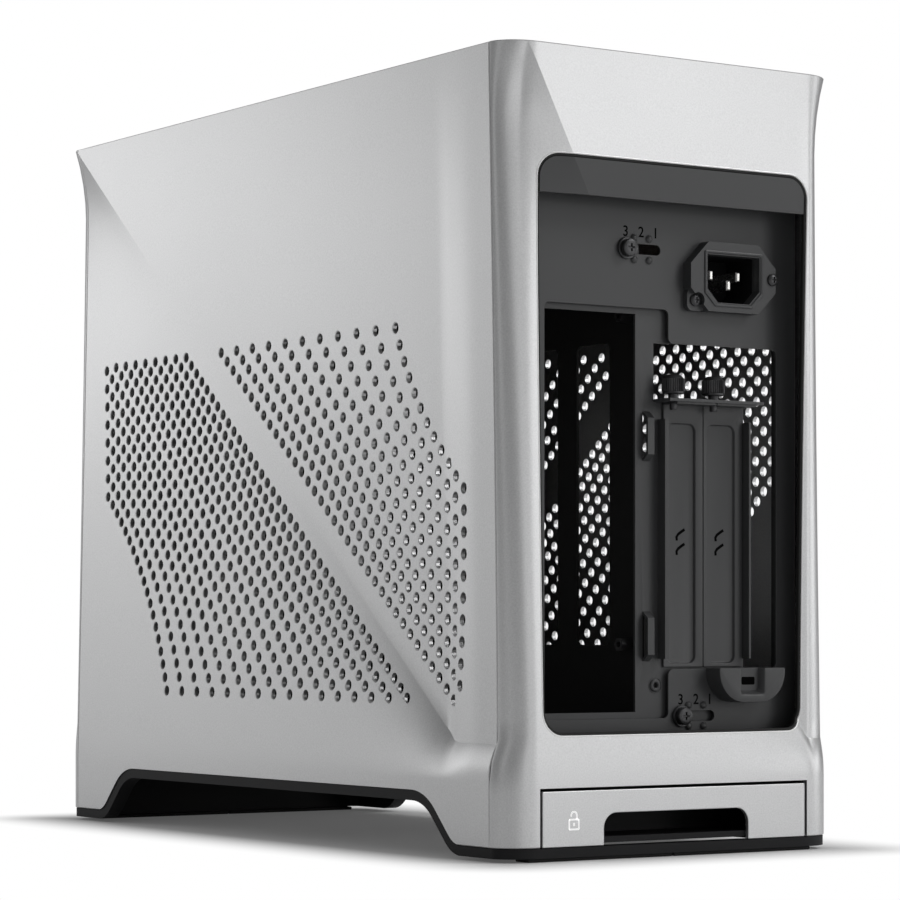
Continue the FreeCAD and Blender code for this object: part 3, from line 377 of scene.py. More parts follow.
# Pale print: white ink plus a glow of 0.4 that paints a sheen brighter than the lamps give it
PALE_INK_PAINTED_SHEEN = GrainedFinish("pale_print", (0.98, 0.98, 0.98), (0.94, 0.94, 0.94), 0.0, 0.7, 0.1,
                         3000.0, 0.00001, glow=0.4)
BRIGHT = BrushedFinish("bright_nickel", (0.82, 0.81, 0.79), (0.66, 0.65, 0.63), 0.28, (400.0, 400.0, 4000.0))
CAP = BrushedFinish("turned_cap", (0.76, 0.765, 0.77), (0.66, 0.665, 0.67), 0.32, (3000.0, 400.0, 400.0))
WOOD = WoodFinish("oiled_walnut", (0.34, 0.205, 0.115), (0.13, 0.072, 0.038))
SLOT_FINISHES = {
    Slot.SILVER: SILVER, Slot.STEEL: STEEL, Slot.INSIDE: INSIDE, Slot.PLASTIC: PLASTIC, Slot.SCREW: SCREW,
    Slot.BRIGHT: BRIGHT, Slot.PAD: RUBBER, Slot.MESH: NYLON, Slot.WOOD: WOOD, Slot.CAP: CAP,
}


class Finishes:
    """The materials of the case, each drawn once."""

    def __init__(self) -> None:
        """Draw every finish and keep it under its record slot or its own name."""
        self.by_slot = {slot: finish.build() for slot, finish in SLOT_FINISHES.items()}
        # self.edge is the finish that paints the highlight on the opening's rim
        self.edge = PAINTED_HIGHLIGHT_EDGE.build()
        self.ink_and_shade = INK_AND_PAINTED_SHADE.build()
        self.print = PALE_INK_PAINTED_SHEEN.build()
        self.bezel = BEZEL.build()

    def __getitem__(self, slot: Slot) -> Material:
        """Finish of a record slot."""
        return self.by_slot[slot]

    def dress_nodes(self) -> None:
        """Give every CAD node the finish of its slot."""
        for row in frame["record"]["subparts"]:
            node = frame["nodes"][row["node"]]
            for slot in node.material_slots:
                slot.material = self[Slot(row["material_slot"])]


def linked(name: str, data: bpy.types.ID) -> SceneObject:
    """A new object in the scene.

    Args:
        name: its name.
        data: its mesh, curve, lamp or camera.

    Returns:
        The object.
    """
    made = bpy.data.objects.new(name, data)
    bpy.context.scene.collection.objects.link(made)
    return made


@dataclass
class Piece:
    """A finished mesh object and where it belongs."""

    name: str
    body: Body
    slot: Slot
    replaces: tuple[str, ...] = ()
    angle: float = SMOOTH_ANGLE

    def place(self, mesh: Mesh, *materials: Material) -> SceneObject:
        """Make the object, dress it and tie it to its body.

        Args:
            mesh: the finished mesh, in the frame's coordinates.
            materials: its finish, and a second one for faces that carry that index.

        Returns:
            The object.
        """
        mesh.materials.clear()
        for material in materials:
            mesh.materials.append(material)
        made = linked(self.name, mesh)
        mesh.shade_smooth()
        mesh.set_sharp_from_angle(angle=self.angle)
        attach(made, self.body.value)
        if self.replaces:
            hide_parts(*self.replaces)
        log.info("%s: %d faces on %s", self.name, len(mesh.polygons), self.body.value)
        return made


def metres(point: Sequence[float]) -> Vector:
    """A point in millimetres as a vector in metres."""
    return Vector(point) * MM


def mesh_from(bm: BMesh, name: str) -> Mesh:
    """Turn a bmesh into a mesh with its faces pointing outwards.

    Args:
        bm: the bmesh, which is freed.
        name: the mesh's name.

    Returns:
        The mesh.
    """
    bmesh.ops.remove_doubles(bm, verts=bm.verts, dist=WELD)
    bmesh.ops.recalc_face_normals(bm, faces=bm.faces)
    mesh = bpy.data.meshes.new(name)
    bm.to_mesh(mesh)
    bm.free()
    return mesh


def skin(bm: BMesh, rows: Rings, closed: bool = False) -> None:
    """Join rows of points by quads.

    Args:
        bm: the bmesh to add to.
        rows: rows with the same number of points.
        closed: whether each row runs round to its start.
    """
    made = [[bm.verts.new(p) for p in row] for row in rows]
    count = len(made[0])
    for low, high in zip(made, made[1:]):
        for i in range(count if closed else count - 1):
            j = (i + 1) % count
            bm.faces.new((low[i], low[j], high[j], high[i]))


def tube_of(rings: Rings, name: str) -> Mesh:
    """Closed body from a stack of rings, capped at both ends.

    Args:
        rings: rings with the same number of points.
        name: the mesh's name.

    Returns:
        The mesh.
    """
    bm = bmesh.new()
    add_tube(bm, rings)
    return mesh_from(bm, name)


def add_tube(bm: BMesh, rings: Rings) -> None:
    """Add a capped stack of rings to a bmesh.

    Args:
        bm: the bmesh.
        rings: rings with the same number of points.
    """
    skin(bm, rings, closed=True)
    bm.faces.new([bm.verts.new(p) for p in rings[0]])
    bm.faces.new([bm.verts.new(p) for p in rings[-1]])


def ring(centre: Sequence[float], radius: float, sides: int, axis: str, turn: float = 0.0) -> list[Vector]:
    """Points on a circle.

    Args:
        centre: its centre in millimetres.
        radius: its radius in millimetres.
        sides: how many points.
        axis: the axis it goes round, "Y" or "Z" or "X".
        turn: angle of the first point.

    Returns:
        The points in metres.
    """
    points = []
    for k in range(sides):
        a = turn + 2 * math.pi * k / sides
        u = radius * math.cos(a)
        v = radius * math.sin(a)
        step = {"X": (0.0, u, v), "Y": (v, 0.0, u), "Z": (u, v, 0.0)}[axis]
        points.append(metres([c + d for c, d in zip(centre, step)]))
    return points


def turned(profile: Sequence[Point2], centre: Sequence[float], axis: str, sides: int) -> list[list[Vector]]:
    """Rings of a turned body.

    Args:
        profile: pairs of distance along the axis and radius, in millimetres.
        centre: start of the axis in millimetres.
        axis: "X", "Y" or "Z".
        sides: points in each ring.

    Returns:
        The rings in metres.
    """
    index = "XYZ".index(axis)
    rings = []
    for along, radius in profile:
        place = list(centre)
        place[index] += along
        rings.append(ring(place, radius, sides, axis))
    return rings


def rounded(corners: Sequence[Triple], steps: int) -> list[Point2]:
    """Closed outline with rounded corners.

    Args:
        corners: u, v and corner radius of each corner in turn.
        steps: straight pieces in each rounded corner.

    Returns:
        The outline's points.
    """
    points = []
    for i, (u, v, r) in enumerate(corners):
        tip = Vector((u, v))
        back = (Vector(corners[i - 1][:2]) - tip).normalized()
        ahead = (Vector(corners[(i + 1) % len(corners)][:2]) - tip).normalized()
        half = back.angle(ahead) / 2
        if r <= 0:
            points.append((u, v))
            continue
        centre = tip + (back + ahead).normalized() * (r / math.sin(half))
        first = tip + back * (r / math.tan(half)) - centre
        last = tip + ahead * (r / math.tan(half)) - centre
        sweep = first.angle_signed(last)
        for k in range(steps + 1):
            turn = Matrix.Rotation(-sweep * k / steps, 2)
            points.append(tuple(centre + turn @ first))
    return points


def rect(u0: float, u1: float, v0: float, v1: float, r: float) -> list[Triple]:
    """Corners of a rectangle with one radius."""
    return [(u0, v0, r), (u1, v0, r), (u1, v1, r), (u0, v1, r)]


def facing_rear(outline: Sequence[Point2], y: float) -> list[Vector]:
    """Outline in X and Z put on a plane of Y."""
    return [metres((u, y, v)) for u, v in outline]


def facing_side(outline: Sequence[Point2], x: float) -> list[Vector]:
    """Outline in Y and Z put on a plane of X."""
    return [metres((x, u, v)) for u, v in outline]


def slab(outline: Sequence[Point2], name: str, span: Point2 = CUT_REACH) -> Mesh:
    """Closed plate that faces the rear, between two planes of Y."""
    return tube_of([facing_rear(outline, y) for y in span], name)


def ring_of(rings: Rings, name: str) -> Mesh:
    """Closed loop through a run of sections that ends where it starts.

    Args:
        rings: sections with the same number of points.
        name: the mesh's name.

    Returns:
        The mesh.
    """
    bm = bmesh.new()
    skin(bm, [*rings, rings[0]], closed=True)
    return mesh_from(bm, name)


def scratch_object(mesh: Mesh) -> SceneObject:
    """A helper object that is removed again before the frame is closed."""
    return linked("helper_" + mesh.name, mesh)


def evaluated(target: SceneObject, name: str) -> Mesh:
    """Plain mesh of an object with its modifiers applied, with the object removed.

    Args:
        target: the object.
        name: the new mesh's name.

    Returns:
        The mesh.
    """
    graph = bpy.context.evaluated_depsgraph_get()
    graph.update()
    mesh = bpy.data.meshes.new_from_object(target.evaluated_get(graph))
    mesh.name = name
    target.modifiers.clear()
    bpy.data.objects.remove(target)
    return mesh


def carved(mesh: Mesh, cutters: Iterable[Mesh], keep: bool = False) -> Mesh:
    """Cut meshes out of a mesh, or keep only what they share.

    Args:
        mesh: the body.
        cutters: closed meshes.
        keep: whether the shared part is kept instead of cut away.

    Returns:
        The carved mesh.
    """
    target = scratch_object(mesh)
    tools = [scratch_object(cutter) for cutter in cutters]
    for tool in tools:
        step = target.modifiers.new(tool.name, "BOOLEAN")
        step.operation = "INTERSECT" if keep else "DIFFERENCE"
        step.solver = "MANIFOLD"
        step.object = tool
    result = evaluated(target, mesh.name)
    for tool in tools:
        bpy.data.objects.remove(tool)
    return result


class Graph(NodeSheet):
    """A Geometry Nodes tree while it is drawn."""

    def __init__(self, name: str, **inputs: str) -> None:
        """Start a tree with a mesh, a finish and its own named inputs.

        Args:
            name: the tree's name.
            inputs: kind of socket of each named input, such as "Float".
        """
        super().__init__(bpy.data.node_groups.new(name, "GeometryNodeTree"))
        for key, kind in {"Geometry": "Geometry", **inputs, "Finish": "Material"}.items():
            self.tree.interface.new_socket(key, in_out="INPUT", socket_type="NodeSocket" + kind)
        self.tree.interface.new_socket("Geometry", in_out="OUTPUT", socket_type="NodeSocketGeometry")
        self.start = self.tree.nodes.new("NodeGroupInput")

    def given(self, name: str) -> Wire:
        """One of the tree's named inputs."""
        return Wire(self, self.start.outputs[name])

    def shape(self, name: str) -> Wire:
        """Geometry of the object given by name."""
        return self.node("GeometryNodeObjectInfo", {}, {"Object": self.given(name)}, "Geometry")

    def copies(self, points: Wire, name: str, **more: Wire) -> Wire:
        """Copies of the object given by name, one on each point."""
        inputs = {"Points": points, "Instance": self.shape(name), **more}
        return self.node("GeometryNodeInstanceOnPoints", {}, inputs)

    def joined(self, *parts: Wire) -> Wire:
        """Several geometries as one.

        Args:
            parts: the geometries.

        Returns:
            All of them together.
        """
        join = self.tree.nodes.new("GeometryNodeJoinGeometry")
        for part in parts:
            self.tree.links.new(part.socket, join.inputs[0])
        return Wire(self, join.outputs[0])

    def close(self, geometry: Wire) -> None:
        """End the tree in Realize Instances and Set Material.

        Args:
            geometry: what the tree has made.
        """
        real = self.node("GeometryNodeRealizeInstances", {}, {"Geometry": geometry})
        dress = {"Geometry": real, "Material": self.given("Finish")}
        self.add("NodeGroupOutput", {}, {"Geometry": self.node("GeometryNodeSetMaterial", {}, dress)})

    def run(self, mesh: Mesh, values: dict[str, object], name: str) -> Mesh:
        """Apply the tree to a mesh.

        Args:
            mesh: the mesh that the tree starts from.
            values: values of its named inputs; a mesh goes in as a helper object.
            name: name of the result.

        Returns:
            The plain mesh that the tree makes.
        """
        target = scratch_object(mesh)
        step = target.modifiers.new(self.tree.name, "NODES")
        step.node_group = self.tree
        helpers = {key: scratch_object(value) for key, value in values.items()
                   if isinstance(value, Mesh)}
        for item in self.tree.interface.items_tree:
            if item.in_out == "INPUT" and item.name in values:
                step[item.identifier] = helpers.get(item.name, values[item.name])
        made = evaluated(target, name)
        for helper in helpers.values():
            bpy.data.objects.remove(helper)
        return made


def points_mesh(points: Iterable[Sequence[float]], name: str) -> Mesh:
    """Mesh of single vertices, from points in millimetres.

    Args:
        points: the points.
        name: the mesh's name.

    Returns:
        The mesh.
    """
    mesh = bpy.data.meshes.new(name)
    mesh.from_pydata([metres(point) for point in points], [], [])
    return mesh


@dataclass(frozen=True)
class CreasedFace:
    """Surface rule of one creased face, measured along s from its left end as seen from outside."""

    tip: float
    run: float
    shift: float
    flat_start: float
    top: float = 316.0
    skirt_top: float = 30.5
    skirt_bottom: float = 5.7
    depth: float = 6.6
    pitch: float = 0.045
    edge_fade: float = 32.0
    edge_power: float = 1.75
    end_fade: float = 30.0
    end_power: float = 1.4
    top_margin: float = 0.4
    low_margin: float = 15.0
    foot_ease: float = 5.0
    bow: float = 1.4
    crisp_share: float = 0.55
    crease_tries: int = 8
    crease_reach: float = 0.02
    corner_reach: float = 0.45
    tip_reach: float = 1.0
    least_width: float = 0.5
    least_run: float = 0.15
    skirt_rows: int = 6
    facet_rows: int = 34

    @property
    def end(self) -> float:
        """Place of the crease's lower end."""
        return self.crease_s(self.skirt_top)

    def crease_depth(self, z: float) -> float:
        """Depth of the crease at a height: none at its tip, easing to the full depth at its foot."""
        share = min(self.pitch * (self.top - z) / self.depth, 2.0)
        return self.depth * (1 - (1 - share / 2) ** 2)

    def crease_s(self, z: float) -> float:
        """Place of the crease along the face at a height."""
        return self.tip + self.run * (self.top - z) + self.shift * self.crease_depth(z)

    def crease_z(self, s: float) -> float:
        """Height of the crease at s, kept off the top edge and the skirt.

        Args:
            s: place along the face.

        Returns:
            The height in millimetres.
        """
        height = self.top
        for _ in range(self.crease_tries):
            height = self.top - (s - self.tip - self.shift * self.crease_depth(height)) / self.run
        return min(max(height, self.skirt_top + self.low_margin), self.top - self.top_margin)

    def bow_at(self, s: float) -> float:
        """How much the upper facet swells: not at all where the crease starts, fully past its crisp share.

        Args:
            s: place along the face.

        Returns:
            The power of the facet's curve.
        """
        share = (s - self.tip) / (self.end - self.tip) / self.crisp_share
        soft = min(max(share, 0.0), 1.0)
        return 1.0 + (self.bow - 1.0) * soft * soft * (3 - 2 * soft)

    def end_share(self, s: float, z: float) -> float:
        """Share of the depth that is left near the crease's lower end."""
        far = math.hypot(min(s - self.end, 0.0), z - self.skirt_top) / self.end_fade
        return 1 - (1 - min(far, 1.0)) ** self.end_power

    def edge_dip(self, s: float, z: float) -> float:
        """How far the lower facet is drawn in towards the upright edge below the crease's tip.

        Args:
            s: place along the face.
            z: height.

        Returns:
            The depth in millimetres.
        """
        fall = 1 - (1 - min((self.top - z) / self.edge_fade, 1.0)) ** self.edge_power
        rise = max(z - self.skirt_top, 0.0) / (self.top - self.skirt_top)
        width = max(self.crease_s(z) - self.tip, self.least_width)
        across = min(max((s - self.tip) / width, 0.0), 1.0)
        return self.depth * fall * rise * (1 - across)

    def inset(self, s: float, z: float) -> float:
        """Depth of the face below its plane.

        Args:
            s: place along the face.
            z: height.

        Returns:
            The depth in millimetres.
        """
        crease = self.crease_z(s)
        full = self.crease_depth(crease)
        if z >= crease:
            share = min(max((self.top - z) / (self.top - crease), 0.0), 1.0)
            return full * self.end_share(s, crease) * (1 - (1 - share) ** self.bow_at(s))
        rise = max(z - self.skirt_top, 0.0)
        whole = crease - self.skirt_top
        ease = self.foot_ease
        share = (math.hypot(rise, ease) - ease) / (math.hypot(whole, ease) - ease)
        return full * self.end_share(s, z) * share + self.edge_dip(s, z)

    def on_crisp_crease(self, s: float, z: float) -> bool:
        """Whether a point lies on the crisp part of the crease.

        Args:
            s: place along the face.
            z: height.

        Returns:
            Whether it does.
        """
        crisp_end = self.tip + (self.end - self.tip) * self.crisp_share
        reach = self.crease_reach if s >= self.flat_start else self.corner_reach
        return self.tip - self.tip_reach < s < crisp_end and abs(z - self.crease_z(s)) < reach

    def sharpen(self, mesh: Mesh, axis: Vector) -> None:
        """Mark the crisp part of the crease as a sharp edge.

        Args:
            mesh: a finished mesh of this face.
            axis: direction in which s grows.
        """
        points = [vertex.co / MM for vertex in mesh.vertices]
        crisp = [self.on_crisp_crease(point.dot(axis), point.z) for point in points]
        for edge in mesh.edges:
            first, last = edge.vertices
            along = abs((points[last] - points[first]).dot(axis)) > self.least_run
            if along and crisp[first] and crisp[last]:
                edge.use_edge_sharp = True

    def heights(self, s: float) -> list[float]:
        """Heights of the mesh rows at s, so that one row runs along the crease.

        Args:
            s: place along the face.

        Returns:
            The heights, from the bottom edge to the top edge.
        """
        crease = self.crease_z(s)
        shares = [k / self.facet_rows for k in range(self.facet_rows + 1)]
        low = [self.skirt_bottom + (self.skirt_top - self.skirt_bottom) * k / self.skirt_rows
               for k in range(self.skirt_rows)]
        middle = [self.skirt_top + (crease - self.skirt_top) * k for k in shares]
        high = [crease + (self.top - crease) * k for k in shares[1:]]
        return low + middle + high


SIDE = CreasedFace(-173.0, 1.194, -1.56, -171.1)
END = CreasedFace(-72.1, 0.5089, 0.82, -66.85)


def sheet_mesh(outer: list[list[Vector]], inner: list[list[Vector]], name: str) -> Mesh:
    """Closed sheet between two grids, its outer edge chamfered.

    Args:
        outer: columns of outer points.
        inner: columns of inner points.
        name: the mesh's name.

    Returns:
        The mesh.
    """
    bm = bmesh.new()
    cols = len(outer)
    rows = len(outer[0])
    edge = [(0, j) for j in range(rows)] + [(i, rows - 1) for i in range(1, cols)]
    edge += [(cols - 1, j) for j in range(rows - 2, -1, -1)] + [(i, 0) for i in range(cols - 2, 0, -1)]
    cut = SHEET_CHAMFER * MM
    lip = {}
    moved = {}
    for i, j in edge:
        here = outer[i][j]
        lip[i, j] = here + (inner[i][j] - here).normalized() * cut
        inside = outer[min(max(i, 1), cols - 2)][min(max(j, 1), rows - 2)] - here
        moved[i, j] = here + inside.normalized() * cut
    front = [[bm.verts.new(moved.get((i, j), outer[i][j])) for j in range(rows)] for i in range(cols)]
    back = [[bm.verts.new(inner[i][j]) for j in range(rows)] for i in range(cols)]
    rim = {key: bm.verts.new(point) for key, point in lip.items()}
    for i in range(cols - 1):
        for j in range(rows - 1):
            bm.faces.new((front[i][j], front[i + 1][j], front[i + 1][j + 1], front[i][j + 1]))
            bm.faces.new((back[i][j], back[i][j + 1], back[i + 1][j + 1], back[i + 1][j]))
    for (a, b), (c, d) in zip(edge, edge[1:] + edge[:1]):
        bm.faces.new((front[a][b], rim[a, b], rim[c, d], front[c][d]))
        bm.faces.new((rim[a, b], back[a][b], back[c][d], rim[c, d]))
    return mesh_from(bm, name)


def half_turn(mesh: Mesh, name: str) -> Mesh:
    """Copy of a mesh, half a turn round the case's upright axis.

    Args:
        mesh: the mesh.
        name: the copy's name.

    Returns:
        The copy.
    """
    copy = mesh.copy()
    copy.name = name
    copy.transform(Matrix.Rotation(math.pi, 4, "Z"))
    return copy


@dataclass(frozen=True)
class HoleLines:
    """One perforated field: slanting lines of holes that fan out from each other."""

    counts: tuple[int, ...]
    starts: Callable[[int], Point2]
    ends: Callable[[int], Point2]
    bows: Callable[[int], float]
    lean: float = 0.489

    def centres(self) -> list[Point2]:
        """Y and Z of every hole, along a bowed line for each count.

        Returns:
            The holes' centres in millimetres.
        """
        places = []
        for k, count in enumerate(self.counts):
            first = Vector(self.starts(k))
            last = Vector(self.ends(k))
            run = last - first
            across = Vector((-run.y, run.x)).normalized()
            middle = first + run * self.lean + across * self.bows(k) * 2
            for i in range(count):
                t = i / (count - 1)
                places.append(tuple(first * (1 - t) ** 2 + middle * 2 * t * (1 - t) + last * t ** 2))
        return places


# How many holes each line has, then its start, its end and its bow, fitted in millimetres
LOWER_FIELD = HoleLines(
    (39, 37, 36, 35, 35, 34, 34, 33, 33, 31, 28, 26, 24, 22, 20, 19),
    lambda k: (-73.5 - 9.55 * k, 211.4) if k < 8 else (-149.6 + 0.47 * (k - 8), 210.4 - 8.4 * (k - 8)),
    lambda k: (106.3 - 11.9 * k - 0.063 * k * k, 62.3),
    lambda k: -0.66 + 0.795 * k - 0.21 * max(0, k - 11) ** 2)
UPPER_FIELD = HoleLines(
    (36, 34, 31, 28, 25, 22, 20, 17, 15, 13, 12),
    lambda k: (-42.5 + 13.3 * k + 0.09 * k * k, 211.4),
    lambda k: (148.6 - 5.0 * (1 - (k - 1) / 9) ** 2, 67.7 + 8.6 * (k - 1)) if k else (137.7, 61.9),
    lambda k: -0.15 - 1.37 * k + 0.079 * k * k)


@dataclass
class SidePanels:
    """The two perforated side panels, alike by half a turn."""

    finishes: Finishes
    end_y: float = 171.05
    columns: int = 96
    arch_half_top: float = 126.5
    arch_half_bottom: float = 146.8
    arch_top: float = 26.0
    arch_round: float = 24.0
    arch_foot_round: float = 12.0
    arch_reach: float = 183.0
    arch_skim: float = 0.05
    arch_span: Point2 = (60.0, 100.0)
    arch_steps: int = 14
    hole_radius: float = 2.15
    hole_sides: int = 12
    flare: float = 0.3
    inner_face_slope: float = 0.8
    hole_depth: float = 6.0
    ray_start: float = 20.0
    ray_length: float = 0.2

    def sheet(self) -> Mesh:
        """Smooth creased sheet of the right panel, without its holes.

        Returns:
            The mesh.
        """
        outer, inner = [], []
        for i in range(self.columns + 1):
            s = -self.end_y + 2 * self.end_y * i / self.columns
            heights = SIDE.heights(s)
            outer.append([metres((HALF_WIDTH - SIDE.inset(s, z), s, z)) for z in heights])
            inner.append([metres((HALF_WIDTH - SHEET_WALL - SIDE.inset(s, z), s, z)) for z in heights])
        return sheet_mesh(outer, inner, "panel_sheet")

    def arch(self) -> Mesh:
        """Cutter of the arch in the lower edge.

        Returns:
            The mesh.
        """
        brim = SIDE.skirt_bottom - self.arch_skim
        rear = [(self.arch_reach, -SIDE.skirt_bottom, 0.0), (self.arch_reach, brim, 0.0),
                (self.arch_half_bottom, brim, self.arch_foot_round),
                (self.arch_half_top, self.arch_top, self.arch_round)]
        outline = rounded(rear + [(-u, v, r) for u, v, r in reversed(rear)], self.arch_steps)
        return tube_of([facing_side(outline, x) for x in self.arch_span], "panel_arch")

    def cutter(self) -> Mesh:
        """One hole's cutter along X, flared at the outer surface.

        Returns:
            The mesh.
        """
        r = self.hole_radius
        profile = [(-self.hole_depth, r), (-self.flare, r), (self.flare, r + 2 * self.flare)]
        return tube_of(turned(profile, ORIGIN, "X", self.hole_sides), "hole_cutter")

    def graph(self) -> Graph:
        """Tree that drops a cutter on the panel at every centre and cuts the holes.

        Returns:
            The tree.
        """
        graph = Graph("perforation", Centres="Object", Cutter="Object", Reach="Float")
        panel = graph.given("Geometry")
        points = graph.node("GeometryNodeMeshToPoints", {}, {"Mesh": graph.shape("Centres")})
        ray = {"Target Geometry": panel, "Ray Direction": -AXIS_X, "Ray Length": graph.given("Reach")}
        hit = graph.node("GeometryNodeRaycast", {}, ray, "Hit Position")
        seated = graph.node("GeometryNodeSetPosition", {}, {"Geometry": points, "Position": hit})
        tools = graph.copies(seated, "Cutter")
        real = graph.node("GeometryNodeRealizeInstances", {}, {"Geometry": tools})
        graph.close(graph.node("GeometryNodeMeshBoolean", {"operation": "DIFFERENCE", "solver": "MANIFOLD"},
                               {"Mesh 1": panel, "Mesh 2": real}))
        return graph

    def build(self) -> None:
        """Make both panels."""
        material = self.finishes[Slot.SILVER]
        sheet = carved(self.sheet(), [self.arch()])
        start = HALF_WIDTH + self.ray_start
        places = LOWER_FIELD.centres() + UPPER_FIELD.centres()
        centres = points_mesh([(start, y, z) for y, z in places], "hole_centres")
        values = {"Centres": centres, "Cutter": self.cutter(), "Reach": self.ray_length, "Finish": material}
        right = self.graph().run(sheet, values, "right_panel_mesh")
        # Faces that look into the case take the near-black inside finish, which darkens the panels' inner
        # side
        for face in right.polygons:
            face.material_index = 1 if face.normal.x < -self.inner_face_slope else 0
        left = half_turn(right, "left_panel_mesh")
        looks = (material, self.finishes[Slot.INSIDE])
        Piece("right_panel_skin", Body.RIGHT, Slot.SILVER, ("right_side_panel",)).place(right, *looks)
        Piece("left_panel_skin", Body.LEFT, Slot.SILVER, ("left_side_panel",)).place(left, *looks)
        SIDE.sharpen(right, AXIS_Y)
        SIDE.sharpen(left, -AXIS_Y)


@dataclass
class EndShells:
    """Front and rear shells that wrap round the corners to the side seams."""

    finishes: Finishes
    seam_y: float = 171.35
    corner_x: float = 66.85
    ease: float = 0.5523
    arc_steps: int = 26
    flat_steps: int = 56
    opening_left: float = 64.7
    opening_right: float = -68.0
    opening_bottom: float = 48.6
    opening_top: float = 274.4
    opening_round: float = 9.5
    opening_steps: int = 12
    path_step: float = 2.0
    drawer_half: float = 66.6
    drawer_top: float = 28.5
    drawer_foot: float = -20.0
    drawer_round: float = 0.3
    edge_radius: float = 0.4
    edge_sides: int = 8
    edge_sink: float = 0.6
    dark_ring_width: float = 1.2
    dark_ring_overlap: float = 0.1
    dark_ring_bevel: float = 0.3
    dark_ring_depths: Point2 = (0.35, 2.0)

    def column(self, step: int, wall: float) -> list[Vector]:
        """One upright column of the rear shell's surface.

        Args:
            step: place round the shell, from the right seam to the left seam.
            wall: how far inside the outer surface.

        Returns:
            The column's points, from bottom to top.
        """
        last = 2 * self.arc_steps + self.flat_steps
        if step <= self.arc_steps:
            return self.corner(1, step / self.arc_steps, wall)
        if step >= last - self.arc_steps:
            return self.corner(-1, (last - step) / self.arc_steps, wall)
        share = (step - self.arc_steps) / self.flat_steps
        s = -self.corner_x + 2 * self.corner_x * share
        return [metres((-s, HALF_LENGTH - wall - END.inset(s, z), z)) for z in END.heights(s)]

    def corner(self, sign: int, t: float, wall: float) -> list[Vector]:
        """One upright column of a rounded corner.

        Args:
            sign: 1 on the board side and -1 on the other.
            t: place round the corner, 0 at the seam and 1 at the flat.
            wall: how far inside the outer surface.

        Returns:
            The column's points, from bottom to top.
        """
        points = []
        u = 1 - t
        side_s = self.seam_y + (HALF_LENGTH - self.seam_y) * t
        swing = u ** 3 + 3 * u * u * t + 3 * u * t * t * self.ease
        rear_s = self.corner_x + (HALF_WIDTH - self.corner_x) * swing
        for z in END.heights(-sign * rear_s):
            side = SIDE.inset(sign * side_s, z) + wall
            rear = END.inset(-sign * rear_s, z) + wall
            seam = Vector((HALF_WIDTH - side, self.seam_y))
            flat = Vector((self.corner_x, HALF_LENGTH - rear))
            pull_a = seam + Vector((0.0, self.ease * (flat.y - seam.y)))
            pull_b = flat + Vector((self.ease * (seam.x - flat.x), 0.0))
            p = seam * u ** 3 + pull_a * 3 * u * u * t + pull_b * 3 * u * t * t + flat * t ** 3
            points.append(metres((sign * p.x, p.y, z)))
        return points

    def sheet_of(self, steps: Iterable[int], sink: float, wall: float, name: str) -> Mesh:
        """Sheet through a run of columns, sunk below the shell's surface."""
        grids = [[self.column(step, depth) for step in steps] for depth in (sink, sink + wall)]
        return sheet_mesh(*grids, name)

    def shell(self) -> Mesh:
        """Plain shell without openings."""
        return self.sheet_of(range(2 * self.arc_steps + self.flat_steps + 1), 0.0, SHEET_WALL, "end_shell")

    def flat_sheet(self, sink: float, wall: float) -> Mesh:
        """Sheet that follows the flat part of the rear."""
        steps = range(self.arc_steps, self.arc_steps + self.flat_steps + 1)
        return self.sheet_of(steps, sink, wall, "rear_sheet")

    def opening_outline(self) -> list[Point2]:
        """Outline of the rear opening in X and Z."""
        return rounded(rect(self.opening_right, self.opening_left, self.opening_bottom, self.opening_top,
                            self.opening_round), self.opening_steps)

    def round_opening(self, section: Sequence[Point2], name: str) -> Mesh:
        """Small section swept round the opening along the shell's surface.

        Args:
            section: pairs of distance into the opening and distance out of the surface.
            name: the mesh's name.

        Returns:
            The mesh.
        """
        outline = self.opening_outline()
        dense = []
        for (u0, v0), (u1, v1) in zip(outline, outline[1:] + outline[:1]):
            count = max(1, int(math.hypot(u1 - u0, v1 - v0) / self.path_step))
            dense += [(u0 + (u1 - u0) * k / count, v0 + (v1 - v0) * k / count) for k in range(count)]
        middle = (self.opening_bottom + self.opening_top) / 2
        path = [Vector((u, HALF_LENGTH - END.inset(-u, v), v)) for u, v in dense]
        rings = []
        for i, here in enumerate(path):
            ahead = (path[(i + 1) % len(path)] - path[i - 1]).normalized()
            side = ahead.cross(AXIS_Y).normalized()
            inward = Vector((-here.x, 0.0, middle - here.z))
            side = side if side.dot(inward) > 0 else -side
            rings.append([(here + side * a + AXIS_Y * b) * MM for a, b in section])
        return ring_of(rings, name)

    def opening_edge(self) -> Mesh:
        """Thin rounded rim where the opening is cut through the shell; its near-white finish paints the rim's
        highlight.

        Returns:
            The mesh.
        """
        r = self.edge_radius
        sink = r * self.edge_sink
        turns = [2 * math.pi * k / self.edge_sides for k in range(self.edge_sides)]
        section = [(r * math.cos(a) - sink, r * math.sin(a) - sink) for a in turns]
        return self.round_opening(section, "opening_edge_mesh")

    def opening_liner(self) -> Mesh:
        """Near-black ring just inside the rim, which shows as a dark line round the opening.

        Returns:
            The mesh.
        """
        near, far = self.dark_ring_depths
        width = self.dark_ring_width
        cut = self.dark_ring_bevel
        back = -self.dark_ring_overlap
        section = [(back, -near), (width - cut, -near), (width, -near - cut), (width, -far), (back, -far)]
        return self.round_opening(section, "opening_liner_mesh")

